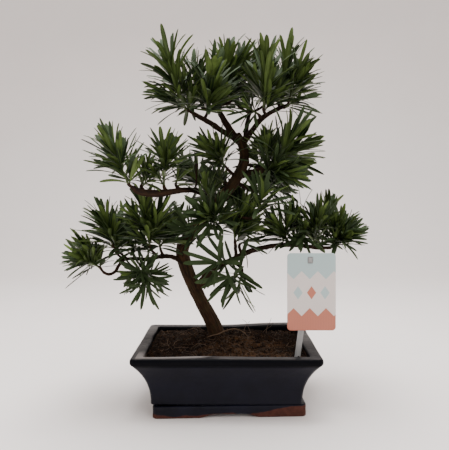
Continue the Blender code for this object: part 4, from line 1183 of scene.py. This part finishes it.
def make_fine_roots():
    """The thin root that arches beside the trunk, and the duller hairs of root that stand up."""
    strands = [tube(smooth_line(ARCHED_ROOT, 40), 8)]
    strands += [tube(smooth_line(rows, 16), 4) for rows in ROOT_HAIRS]
    tones = [np.full(len(points), ROOT_HAIR_TONE) for points, _ in strands]
    tones[0][:] = ARCHED_ROOT_TONE
    piece = new_piece("fine_roots", *gathered(strands),
                      strand_finish("pale_root", DARK_ROOT, LIGHT_ROOT), sharp=180)
    set_values(piece, "tone", np.concatenate(tones))
    return dress(piece, "bark")


# Label


def stood_up(flat, depth):
    """Level points (x, y) stood up at a depth, as (x, depth, z)."""
    return np.column_stack([flat[:, 0], np.full(len(flat), depth), flat[:, 1]])


def upright_card(name, size, centre, corner, levels, finish=None):
    """A rounded card that stands up, through (depth, inset) levels from its front to its back."""
    rings = [stood_up(rounded_ring(size[0] / 2 - inset, size[1] / 2 - inset, corner - inset, 0.0, centre,
                                   side_steps=2), depth) for depth, inset in levels]
    return loft(name, rings, finish, sharp=30)


def make_card(settings):
    """The card: a rounded rectangle with softened edges and a slot near its top for the stake's tongue."""
    back = CARD_FRONT + CARD_THICKNESS
    levels = ((CARD_FRONT, 0.2), (CARD_FRONT + 0.15, 0.0), (back - 0.15, 0.0), (back, 0.2))
    card = upright_card("printed_label", CARD_SIZE, CARD_CENTRE, CARD_CORNER, levels, card_finish(settings))
    slot = upright_card("slot", SLOT_SIZE, SLOT_CENTRE, 1.0, ((CARD_FRONT - 1, 0.0), (back + 1, 0.0)))
    boolean(card, [slot], "DIFFERENCE")
    shade(card, 30)
    return dress(card, "label_card", "label_card")


def make_stake(settings):
    """The leaning strip behind the card, ridged along its edges, with a blunt point in the soil and a tongue that
    goes through the card's slot."""
    foot = np.array(STAKE_FOOT)
    head = np.array(STAKE_HEAD)
    way = unit(head - foot)
    across = np.array((way[1], -way[0]))
    half = STAKE_WIDTH / 2
    shoulder = foot + way * POINT_LENGTH
    outline = np.array([foot - across * POINT_HALF, shoulder - across * half, head - across * half,
                        head + across * half, shoulder + across * half, foot + across * POINT_HALF])
    front = CARD_FRONT + CARD_THICKNESS + STAKE_GAP
    stake = loft("label_holder", [stood_up(outline, y) for y in (front, front + STAKE_THICKNESS)],
                 stake_finish(settings), sharp=30)
    low, high = foot + way * GROOVE_ENDS[0], head - way * GROOVE_ENDS[1]
    middle = np.array([low - across, high - across, high + across, low + across])
    groove = loft("groove", [stood_up(middle, y) for y in (front - 0.5, front + GROOVE_DEPTH)])
    boolean(stake, [groove], "DIFFERENCE")
    levels = ((CARD_FRONT - TONGUE_PROUD, 0.3), (CARD_FRONT - TONGUE_PROUD + 0.3, 0.0), (front + 0.7, 0.0))
    boolean(stake, [upright_card("tongue", TONGUE_SIZE, SLOT_CENTRE, 0.9, levels)], "UNION")
    bevel = stake.modifiers.new("soft_edges", "BEVEL")
    bevel.width = 0.18 * MM
    bevel.segments = 2
    bevel.limit_method = "ANGLE"
    write_shape(stake)
    shade(stake, 30)
    return dress(stake, "label_stake", "label_stake")


# Wood


def twig_rows(limb, foot, stem_way):
    """A twig from the limb's nearest stretch, and a little nearer the trunk, to a spray's foot, where it points
    along the stem."""
    line = smooth_line(TRUNK if limb == "trunk" else LIMBS[limb], NEAREST_STEPS)
    foot = np.asarray(foot, float)
    far = np.linalg.norm(line[:, :3] - foot, axis=1)
    nearest = int(np.argmin(far))
    step = np.linalg.norm(line[1, :3] - line[0, :3])
    start = line[max(nearest - int(TWIG_LEAN * far[nearest] / step), 2)]
    path = bent_line(start[:3], foot, unit(foot - start[:3]), stem_way, TWIG_STEPS)
    radii = np.linspace(min(start[3] * 0.75, TWIG_RADIUS_AT_MOST), TWIG_RADIUS, TWIG_STEPS)
    return np.column_stack([path, radii])


def spray_way(foot, tips):
    """The direction in which the spray's first stem leaves its foot."""
    return unit(np.subtract(tips[0], foot))


def wood_lines():
    """Every length of wood as fine rows of (x, y, z, radius), the trunk first."""
    lines = [smooth_line(TRUNK, TRUNK_STEPS)]
    lines += [smooth_line(points, STEPS_FOR_EACH_POINT * len(points)) for points in LIMBS.values()]
    lines += [smooth_line(points, ROOT_STEPS) for points in ROOTS]
    lines += [smooth_line(STUB, STUB_STEPS), smooth_line(BARE_TWIG, BARE_TWIG_STEPS)]
    lines += [twig_rows(limb, foot, spray_way(foot, tips)) for _, limb, foot, tips in SPRAYS]
    return lines


def nearest_wood(points, lines):
    """For each point of the wood's surface, its place in a frame that runs along the nearest centre line: two
    distances square to the line and the distance along it, and the line's radius there."""
    samples = []
    for number, rows in enumerate(lines):
        along, first, second = carried_frames(rows[:, :3])
        steps = np.linalg.norm(np.diff(rows[:, :3], axis=0), axis=1)
        run = np.append(0, np.cumsum(steps)) + LINES_APART * number
        samples.append(np.column_stack([rows, along, first, second, run]))
    samples = np.vstack(samples).astype(np.float32)
    best = np.empty(len(points), int)
    for start in range(0, len(points), AT_ONCE):
        some = points[start:start + AT_ONCE]
        square = (some**2).sum(1)[:, None] + (samples[:, :3] ** 2).sum(1) - 2 * some @ samples[:, :3].T
        best[start:start + AT_ONCE] = (np.sqrt(np.maximum(square, 0)) - samples[:, 3]).argmin(axis=1)
    near = samples[best]
    local = points - near[:, :3]
    place = [(local * near[:, 4 + 3 * k:7 + 3 * k]).sum(1) for k in range(3)]
    return np.column_stack([place[1], place[2], near[:, 13] + place[0]]), near[:, 3]


def make_wood(settings):
    """The tree's wood: tapering tubes down every centre line, fused into one skin, which is then raised and sunk
    along its normals by long ridges of bark on the trunk and by knots on the limbs."""
    lines = wood_lines()
    tubes = gathered([tube(rows, TUBE_SIDES) for rows in lines])
    wood = new_piece("wood", *tubes, bark_finish(settings), sharp=180)
    fuse = wood.modifiers.new("fuse", "REMESH")
    fuse.mode = "VOXEL"
    fuse.voxel_size = settings.wood_grain
    fuse.use_smooth_shade = True
    write_shape(wood)
    mesh = wood.data
    count = len(mesh.vertices)
    points = np.empty(count * 3, np.float32)
    normals = np.empty(count * 3, np.float32)
    mesh.vertices.foreach_get("co", points)
    mesh.vertex_normals.foreach_get("vector", normals)
    points = (points.reshape(-1, 3) - POT_MIDDLE) / MM
    normals = normals.reshape(-1, 3)
    grain, radius = nearest_wood(points, lines)
    stretched = grain * (1, 1, RIDGE_DRAWN)
    thick = np.clip((radius - THIN_WOOD) / THIN_TO_THICK, 0, 1)
    ridges = 1 - 2 * np.abs(rough(stretched, RIDGE_SIZE, 3, 11))
    flutes = lattice_noise(grain * (1, 1, FLUTE_DRAWN), FLUTE_SIZE, 17)
    knots = np.maximum(lattice_noise(points, KNOT_SIZE, 23), 0)
    height = ridges * (RIDGE_HEIGHTS[0] + RIDGE_HEIGHTS[1] * thick) + flutes * FLUTE_HEIGHT * thick
    height = height + knots * KNOT_HEIGHT * (1 - thick) * np.clip(radius / 3, 0.3, 1)
    points = points + normals * height[:, None]
    mesh.vertices.foreach_set("co", (points * MM + POT_MIDDLE).astype(np.float32).ravel())
    mesh.update()
    shade(wood, 180)
    set_values(wood, "grain", stretched)
    set_values(wood, "girth", radius / 8)
    set_values(wood, "height", np.clip(ridges * 0.5 + 0.5, 0, 1))
    return dress(wood, "bark", "trunk_and_branches")


# Leaves


class Room:
    """What is already placed, as balls along centre lines, so that a new leaf can keep clear of it."""

    def __init__(self):
        self.balls = np.zeros((0, 4))
        self.owners = np.zeros(0, int)

    def fill(self, balls, owner):
        """Adds rows of (x, y, z, radius)."""
        self.balls = np.vstack([self.balls, balls])
        self.owners = np.append(self.owners, np.full(len(balls), owner))

    def around(self, low, high, owner):
        """The balls of other owners inside a box."""
        inside = ((self.balls[:, :3] > low) & (self.balls[:, :3] < high)).all(axis=1)
        return self.balls[inside & (self.owners != owner)]


def stem_rows(foot, tips, fork):
    """A green stem from inside its twig's end, or for a fork from inside the first stem, to its tip."""
    start = np.asarray(foot, float) - spray_way(foot, tips) * (STEM_SUNK if fork == 0 else -STEM_SUNK)
    end = np.asarray(tips[fork], float)
    reach = np.linalg.norm(end - start)
    end -= (end - start) * min(STEM_SHORTER / reach, SHORTER_AT_MOST)
    share = np.linspace(0, 1, STEM_STEPS)[:, None]
    line = start + share * (end - start)
    return np.column_stack([line, STEM_RADIUS + (STEM_TIP_RADIUS - STEM_RADIUS) * share])


def straight_shoot(start, heading, rng):
    """Rows of (x, y, z, radius) of a short straight shoot, which thins to its end."""
    share = np.linspace(0, 1, SHOOT_STEPS)[:, None]
    line = start + share * heading * rng.uniform(*SHOOT_LENGTH)
    return np.column_stack([line, SHOOT_RADII[0] + (SHOOT_RADII[1] - SHOOT_RADII[0]) * share])


def shoot_rows(stem, turn, rng):
    """A side shoot that leaves the lower half of a stem at a lean, turned round it."""
    way = unit(stem[-1, :3] - stem[0, :3])
    start = stem[0, :3] + (stem[-1, :3] - stem[0, :3]) * rng.uniform(*SHOOT_PLACE)
    side = square_to(way)
    outward = math.cos(turn) * side + math.sin(turn) * np.cross(way, side)
    lean = rng.uniform(*SHOOT_LEAN)
    heading = unit(math.cos(lean) * way + math.sin(lean) * outward + UP * SHOOT_LIFT)
    return straight_shoot(start, heading, rng)


def twig_shoot_rows(twig, stem_way, rng):
    """A short shoot from the outer half of the twig below the stem, rising beside it."""
    start = twig[int(len(twig) * rng.uniform(*TWIG_SHOOT_PLACE)), :3]
    aside = rng.normal(0, 1, 3) * (1, 1, 0.3)
    heading = unit(TWIG_SHOOT_WAY[0] * stem_way + TWIG_SHOOT_WAY[1] * unit(aside) + UP * SHOOT_LIFT)
    return straight_shoot(start, heading, rng)


def spray_stems(number, shoots):
    """Every stem of a spray, each with its leaves' size, how much wider they spread and how full they stand: the
    main stems, then their side shoots and one from the twig."""
    rng = np.random.default_rng((LEAF_SEED, number, 1))
    name, limb, foot, tips = SPRAYS[number]
    size, wider, full = HABITS.get(name, PLAIN_HABIT)
    stems = [(stem_rows(foot, tips, fork), size, wider, full) for fork in range(len(tips))]
    shoots = shoots if full == 1 else 0
    for stem, *_ in stems[:]:
        first = rng.uniform(0, 2 * math.pi)
        for i in range(shoots):
            stems.append((shoot_rows(stem, first + i * GOLDEN_ANGLE, rng), size * SHOOT_LEAF_SCALE, wider, full))
    if shoots:
        way = spray_way(foot, tips)
        twig = twig_rows(limb, foot, way)
        stems.append((twig_shoot_rows(twig, way, rng), size * SHOOT_LEAF_SCALE, wider, full))
    return stems


def card_balls():
    """Balls over the card, on a level grid of its height and width."""
    x, z = np.meshgrid(np.linspace(-0.5, 0.5, CARD_BALLS[0]) * CARD_SIZE[0],
                       np.linspace(-0.5, 0.5, CARD_BALLS[1]) * CARD_SIZE[1])
    return np.stack([CARD_CENTRE[0] + x, np.full_like(x, CARD_FRONT + 1), CARD_CENTRE[1] + z,
                     np.full_like(x, CARD_BALL_RADIUS)], axis=-1).reshape(-1, 4)


def twig_window():
    """Balls along the viewer's lines of sight to the bare twig's upper end, so that it stands free of leaves: how
    far a ball is to the side of the eye and below or above it grows with its distance in front of the eye."""
    x, depth, height, _ = BARE_TWIG[-1]
    y, z = np.meshgrid(np.linspace(*WINDOW_DEPTHS, WINDOW_BALLS[0]),
                       np.linspace(height + WINDOW_HEIGHTS[0], height + WINDOW_HEIGHTS[1], WINDOW_BALLS[1]))
    away = (y - EYE[1]) / (depth - EYE[1])
    return np.stack([x * away, y, EYE[2] + (z - EYE[2]) * away, np.full_like(y, WINDOW_BALL_RADIUS)],
                    axis=-1).reshape(-1, 4)


def fill_room(shoots):
    """The wood, the stems, the card and the bare twig's window, before any leaf is placed."""
    room = Room()
    for rows in wood_lines():
        room.fill(rows, -1)
    for number in range(len(SPRAYS)):
        for rows, *_ in spray_stems(number, shoots):
            room.fill(rows, number)
    room.fill(card_balls(), -1)
    room.fill(twig_window(), -1)
    return room


def leaf_width(share):
    """Half the blade's width, as a share of its greatest: a short stalk, widest past the middle, a blunt point."""
    return np.interp(share, *LEAF_WIDTHS)


def leaf_line(root, stem_way, turn, tilt, length, arch, sag):
    """A leaf's centre line with its sideways direction and its upward ones. It leaves the stem at its tilt and
    arches outwards and down."""
    side = square_to(stem_way)
    outward = math.cos(turn) * side + math.sin(turn) * np.cross(stem_way, side)
    share = np.linspace(0, 1, LEAF_STEPS + 1)[:, None]
    angle = tilt + arch * share
    way = unit(np.cos(angle) * stem_way + np.sin(angle) * outward - UP * sag * share)
    line = root + np.vstack([np.zeros(3), np.cumsum(way[:-1] * length / LEAF_STEPS, axis=0)])
    across = unit(np.cross(stem_way, outward))
    return line, across, unit(np.cross(across, way))


def square_distances(points, others):
    """The square of the distance from each point to each of the others."""
    return (points**2).sum(axis=1)[:, None] + (others**2).sum(axis=1) - 2 * points @ others.T


def free_leaf(others, own, place, half_width):
    """The leaf in the first turn and length that clears other pieces and the leaves beside it, or None."""
    root, way, turn, tilt, length, arch, sag = place
    reach = half_width * leaf_width(np.linspace(0, 1, LEAF_STEPS + 1)) + LEAF_CLEAR
    for shorter, degrees in LEAF_TRIES:
        leaf = leaf_line(root, way, turn + math.radians(degrees), tilt, length * shorter, arch, sag)
        outer = leaf[0][OUTER_SAMPLE::2]
        if len(own) and (square_distances(outer, own) < OWN_LEAVES_APART**2).any():
            continue
        least = others[:, 3] + reach[1::2, None]
        if not (square_distances(leaf[0][1::2], others[:, :3]) < least**2).any():
            return leaf
    return None


def spray_leaves(number, room, settings):
    """The centre lines and tones of one spray's leaves, set round each stem by the golden angle."""
    rng = np.random.default_rng((LEAF_SEED, number))
    _, _, foot, tips = SPRAYS[number]
    around = LEAF_REACH * settings.length / MM + SEARCH_MARGIN
    ends = np.array([foot, *tips], float)
    others = room.around(ends.min(axis=0) - around, ends.max(axis=0) + around, number)
    leaves = []
    own = np.zeros((0, 3))
    for rows, size, wider, full in spray_stems(number, settings.shoots):
        longest = settings.length / MM * size
        half_width = settings.width / MM / 2 * size
        start, end = rows[0, :3], rows[-1, :3]
        way = unit(end - start)
        reach = np.linalg.norm(end - start)
        count = int(round(full * (settings.fewest + settings.per_centimetre * reach / 10)))
        first_turn = rng.uniform(0, 2 * math.pi)
        for i in range(count):
            share = (i + 0.5) / count
            root = start + way * reach * min(FIRST_LEAF + (1 - FIRST_LEAF) * share, LAST_LEAF)
            tilt = wider + LEAF_TILT_HIGH + (LEAF_TILT_LOW - LEAF_TILT_HIGH) * (1 - share)**LEAF_CLOSING
            tilt += rng.uniform(-LEAF_TILT_SPREAD, LEAF_TILT_SPREAD)
            length = longest * (1 - SHORTER_AT_TIP * share**2) * rng.uniform(*LEAF_LENGTHS)
            arch = rng.uniform(*LEAF_ARCH)
            sag = rng.uniform(*LEAF_SAG)
            turn = first_turn + i * GOLDEN_ANGLE + rng.uniform(-LEAF_TURN_SPREAD, LEAF_TURN_SPREAD)
            twist = rng.uniform(-LEAF_TWIST, LEAF_TWIST)
            tone = np.clip(rng.normal(LEAF_TONE[0] + LEAF_TONE[1] * share, LEAF_TONE_SPREAD), 0, 1)
            leaf = free_leaf(others, own, (root, way, turn, tilt, length, arch, sag), half_width)
            if leaf is not None:
                leaves.append((*leaf, twist, tone, size * rng.uniform(*LEAF_BREADTHS)))
                own = np.vstack([own, leaf[0][OUTER_SAMPLE::2]])
    for line, *_, broad in leaves:
        reach = settings.width / MM / 2 * broad * leaf_width(np.linspace(0, 1, LEAF_STEPS + 1))
        room.fill(np.column_stack([line, reach])[1::2], number)
    return leaves


def leaf_blades(leaves, settings):
    """Closed blades as arrays over leaf, station and place round the section: a raised midrib above, edges that
    turn down a little, and a keel below, turned about the line by a twist that grows towards the tip."""
    stations = np.array(LEAF_STATIONS)
    line = np.array([leaf[0][stations] for leaf in leaves])
    tip = np.array([leaf[0][-1] for leaf in leaves])
    across = np.array([np.broadcast_to(leaf[1], (len(stations), 3)) for leaf in leaves])
    upper = np.array([leaf[2][stations] for leaf in leaves])
    share = stations / LEAF_STEPS
    twist = np.array([leaf[3] for leaf in leaves])[:, None, None] * share[None, :, None]
    broad = np.array([leaf[5] for leaf in leaves])[:, None]
    sideways = np.cos(twist) * across + np.sin(twist) * upper
    raised = np.cos(twist) * upper - np.sin(twist) * across
    section = np.array(LEAF_SECTION)
    half = settings.width / MM / 2 * leaf_width(share)[None] * broad
    depth = np.sqrt(leaf_width(share))[None] * np.ones_like(broad)
    points = (line[:, :, None] + (half[..., None] * section[:, 0])[..., None] * sideways[:, :, None]
              + (depth[..., None] * section[:, 1])[..., None] * raised[:, :, None])
    count, rings, round_it = points.shape[:3]
    each = rings * round_it + 1
    points = np.concatenate([points.reshape(count, -1, 3), tip[:, None]], axis=1)
    pattern = ring_grid(rings, round_it)
    last = (rings - 1) * round_it
    pattern += [[last + i, last + (i + 1) % round_it, each - 1] for i in range(round_it)]
    pattern.append(list(range(round_it)))
    faces = [[each * leaf + i for i in face] for leaf in range(count) for face in pattern]
    blade = np.zeros((rings, round_it, 3))
    blade[..., 0] = section[:, 0]
    blade[..., 1] = share[:, None]
    blade[..., 2] = LEAF_UPPER
    blade = np.vstack([blade.reshape(-1, 3), (0, 1, 0.5)])
    tones = np.repeat([leaf[4] for leaf in leaves], each)
    return points.reshape(-1, 3), faces, np.tile(blade, (count, 1)), tones


def make_spray(number, room, finish, settings):
    """One leafy spray: its green stems and the leaves that grow from them."""
    name = SPRAYS[number][0]
    points, faces, blade, tones = leaf_blades(spray_leaves(number, room, settings), settings)
    stems = gathered([tube(rows, STEM_SIDES) for rows, *_ in spray_stems(number, settings.shoots)])
    piece = new_piece("leaves_" + name, *gathered([(points, faces), stems]), finish, sharp=50)
    extra = len(stems[0])
    set_values(piece, "blade", np.vstack([blade, np.tile(STEM_BLADE, (extra, 1))]))
    set_values(piece, "tone", np.append(tones, np.full(extra, STEM_TONE)))
    return dress(piece, "leaf", "spray_" + name)


# Stage


def add_lamp(name, place, width, power):
    """A square soft lamp turned to the middle of the plant."""
    data = bpy.data.lights.new(name, "AREA")
    data.energy = power
    data.size = width * MM
    lamp = new_object(name, data)
    lamp.location = np.array(place) * MM + POT_MIDDLE
    x, y, z = np.array(LAMPS_AIM) * MM + POT_MIDDLE - np.array(lamp.location)
    lamp.rotation_euler = (math.atan2(math.hypot(x, y), -z), 0, math.atan2(y, x) - math.pi / 2)


def make_stage(settings):
    """A wide pale floor that sweeps up into a wall in a quarter round, an even sky and two soft lamps, with the
    camera at the viewer's place."""
    turn = np.linspace(0, math.pi / 2, 25)
    profile = np.vstack([(-STAGE_SIDE, 0), np.column_stack([SWEEP_START + SWEEP_RADIUS * np.sin(turn),
                                                            SWEEP_RADIUS * (1 - np.cos(turn))]),
                         (SWEEP_START + SWEEP_RADIUS, STAGE_SIDE)])
    points = np.vstack([np.column_stack([np.full(len(profile), x), profile]) for x in (-STAGE_SIDE, STAGE_SIDE)])
    across = len(profile)
    faces = [[i, i + across, i + across + 1, i + 1] for i in range(across - 1)]
    floor = new_piece("floor", points, faces, floor_finish(settings), sharp=180)
    world = bpy.data.worlds.new("even_sky")
    world.use_nodes = True
    tree = world.node_tree
    sky = tree.nodes["Background"].inputs
    height = share_of(tree, parts_of(tree, node(tree, "TexCoord").outputs["Generated"])[2], 0.0, 0.75)
    feed(tree, sky["Color"], mixed(tree, height, settings.horizon, settings.sky))
    sky["Strength"].default_value = settings.sky_strength
    bpy.context.scene.world = world
    add_lamp("key_lamp", KEY_PLACE, KEY_SIZE, settings.key)
    add_lamp("fill_lamp", FILL_PLACE, FILL_SIZE, settings.fill)
    lens = bpy.data.cameras.new("camera")
    lens.lens = LENS
    lens.shift_x, lens.shift_y = SHIFT
    camera = new_object("camera", lens)
    camera.location = np.array(EYE) * MM + POT_MIDDLE
    camera.rotation_euler = (math.radians(90), 0, 0)
    bpy.context.scene.camera = camera


# Settings, operators and panel


def colour_setting(name, description, default):
    return bpy.props.FloatVectorProperty(name=name, description=description, default=default, size=3, min=0, max=1,
                                         subtype="COLOR")


def length_setting(name, description, default, least, most):
    return bpy.props.FloatProperty(name=name, description=description, default=default, min=least, max=most,
                                   unit="LENGTH", precision=4)


def number_setting(name, description, default, least, most):
    return bpy.props.FloatProperty(name=name, description=description, default=default, min=least, max=most)


def count_setting(name, description, default, least, most):
    return bpy.props.IntProperty(name=name, description=description, default=default, min=least, max=most)


class PotSettings(bpy.types.PropertyGroup):
    glaze: colour_setting("Glaze", "Colour of the pot's and the tray's glaze", (0.0036, 0.0038, 0.0080))
    clay: colour_setting("Clay", "Colour of the tray's bare clay", (0.066, 0.022, 0.0155))
    rim_wave: length_setting("Rim Wave", "How far the hand-made rim wanders", 0.0008, 0.0, 0.003)


class SoilSettings(bpy.types.PropertyGroup):
    earth: colour_setting("Earth", "Colour of the damp earth", (0.0052, 0.0029, 0.0020))
    fibre: colour_setting("Peat", "Colour of the browner, fibrous ground", (0.150, 0.075, 0.034))
    strand: colour_setting("Fibres", "Colour of the palest fibres", (0.14, 0.078, 0.040))
    crumbs: count_setting("Crumbs", "Number of loose lumps", 1500, 1, 4000)
    fibres: count_setting("Fibres", "Number of fibres", 420, 1, 2000)


class LabelSettings(bpy.types.PropertyGroup):
    card: colour_setting("Card", "Colour of the card's ground", (0.60, 0.535, 0.50))
    cool: colour_setting("Cool Print", "Colour of the upper band and two lozenges", (0.34, 0.43, 0.43))
    warm: colour_setting("Warm Print", "Colour of the lower band and one lozenge", (0.40, 0.125, 0.075))
    stake: colour_setting("Stake", "Colour of the plastic stake", (0.30, 0.295, 0.29))


class WoodSettings(bpy.types.PropertyGroup):
    bark: colour_setting("Bark", "Colour of the bark's ridges", (0.054, 0.025, 0.0105))
    film: colour_setting("Film", "Colour of the olive patches", (0.037, 0.027, 0.0095))
    wood_grain: length_setting("Skin Fineness", "Size of the skin's cells", 0.0009, 0.0006, 0.002)


class LeafSettings(bpy.types.PropertyGroup):
    length: length_setting("Length", "Length of a full-grown leaf", 0.0455, 0.01, 0.08)
    width: length_setting("Width", "Width of a full-grown leaf", 0.0053, 0.001, 0.02)
    fewest: count_setting("Fewest", "Leaves on the shortest stem", 12, 1, 40)
    per_centimetre: number_setting("Per Centimetre", "More leaves for each centimetre of stem", 6.4, 0, 12)
    shoots: count_setting("Side Shoots", "Short side shoots on each stem", 2, 0, 6)
    old: colour_setting("Old Leaf", "Upper side of an old leaf", (0.0040, 0.0105, 0.0026))
    young: colour_setting("Young Leaf", "Upper side of a young leaf", (0.106, 0.160, 0.036))
    below: colour_setting("Underside", "Lower side of a leaf", (0.024, 0.040, 0.013))
    rib: colour_setting("Midrib", "Midrib and leaf base", (0.095, 0.145, 0.038))
    stem: colour_setting("Stem", "Green stems", (0.060, 0.080, 0.028))


class StageSettings(bpy.types.PropertyGroup):
    floor: colour_setting("Floor", "Colour of the floor", (0.82, 0.765, 0.74))
    sky: colour_setting("Sky", "Colour of the light overhead", (1.0, 0.97, 0.95))
    horizon: colour_setting("Horizon", "Colour of the light from the sides", (0.70, 0.665, 0.65))
    sky_strength: number_setting("Sky Strength", "Brightness of the even light", 1.32, 0, 4)
    key: number_setting("Key Lamp", "Power of the lamp overhead, in watts", 28.5, 0, 200)
    fill: number_setting("Fill Lamp", "Power of the lamp in front on the right, in watts", 6.0, 0, 200)


class BONSAI_OT_pot(bpy.types.Operator):
    """Makes the glazed pot and the tray under it"""

    bl_idname = "bonsai.pot"
    bl_label = "Pot and Tray"

    def execute(self, context):
        make_pot(context.scene.bonsai_pot)
        make_tray(context.scene.bonsai_pot)
        return {"FINISHED"}


class BONSAI_OT_soil(bpy.types.Operator):
    """Makes the earth with its crumbs, fibres and fine roots"""

    bl_idname = "bonsai.soil"
    bl_label = "Soil"

    def execute(self, context):
        settings = context.scene.bonsai_soil
        make_soil_body(settings)
        make_crumbs(settings)
        make_fibres(settings)
        make_fine_roots()
        return {"FINISHED"}


class BONSAI_OT_label(bpy.types.Operator):
    """Makes the printed card and its plastic stake"""

    bl_idname = "bonsai.label"
    bl_label = "Label"

    def execute(self, context):
        make_card(context.scene.bonsai_label)
        make_stake(context.scene.bonsai_label)
        return {"FINISHED"}


class BONSAI_OT_wood(bpy.types.Operator):
    """Makes the trunk, limbs and twigs"""

    bl_idname = "bonsai.wood"
    bl_label = "Wood"

    def execute(self, context):
        make_wood(context.scene.bonsai_wood)
        return {"FINISHED"}


class BONSAI_OT_leaves(bpy.types.Operator):
    """Makes every leafy spray"""

    bl_idname = "bonsai.leaves"
    bl_label = "Leaves"

    def execute(self, context):
        settings = context.scene.bonsai_leaf
        finish = leaf_finish(settings)
        room = fill_room(settings.shoots)
        for number in range(len(SPRAYS)):
            make_spray(number, room, finish, settings)
        return {"FINISHED"}


class BONSAI_OT_stage(bpy.types.Operator):
    """Makes the floor, the light and the camera"""

    bl_idname = "bonsai.stage"
    bl_label = "Stage"

    def execute(self, context):
        make_stage(context.scene.bonsai_stage)
        return {"FINISHED"}


GROUPS = [
    ("bonsai_pot", PotSettings, BONSAI_OT_pot),
    ("bonsai_soil", SoilSettings, BONSAI_OT_soil),
    ("bonsai_label", LabelSettings, BONSAI_OT_label),
    ("bonsai_wood", WoodSettings, BONSAI_OT_wood),
    ("bonsai_leaf", LeafSettings, BONSAI_OT_leaves),
    ("bonsai_stage", StageSettings, BONSAI_OT_stage),
]


class BONSAI_PT_panel(bpy.types.Panel):
    """The settings of each group of pieces, with the button that makes it"""

    bl_idname = "BONSAI_PT_panel"
    bl_label = "Bonsai"
    bl_space_type = "VIEW_3D"
    bl_region_type = "UI"
    bl_category = "Bonsai"

    def draw(self, context):
        for key, group, operator in GROUPS:
            box = self.layout.box()
            box.operator(operator.bl_idname)
            for name in group.__annotations__:
                box.prop(getattr(context.scene, key), name)


CLASSES = [kind for _, group, operator in GROUPS for kind in (group, operator)] + [BONSAI_PT_panel]


def register():
    for kind in CLASSES:
        bpy.utils.register_class(kind)
    for key, group, _ in GROUPS:
        setattr(bpy.types.Scene, key, bpy.props.PointerProperty(type=group))


def unregister():
    for key, _, _ in GROUPS:
        delattr(bpy.types.Scene, key)
    for kind in reversed(CLASSES):
        bpy.utils.unregister_class(kind)


def main():
    register()
    bpy.ops.bonsai.stage()
    bpy.ops.bonsai.pot()
    bpy.ops.bonsai.soil()
    bpy.ops.bonsai.label()
    bpy.ops.bonsai.wood()
    bpy.ops.bonsai.leaves()


if __name__ == "__main__":
    main()
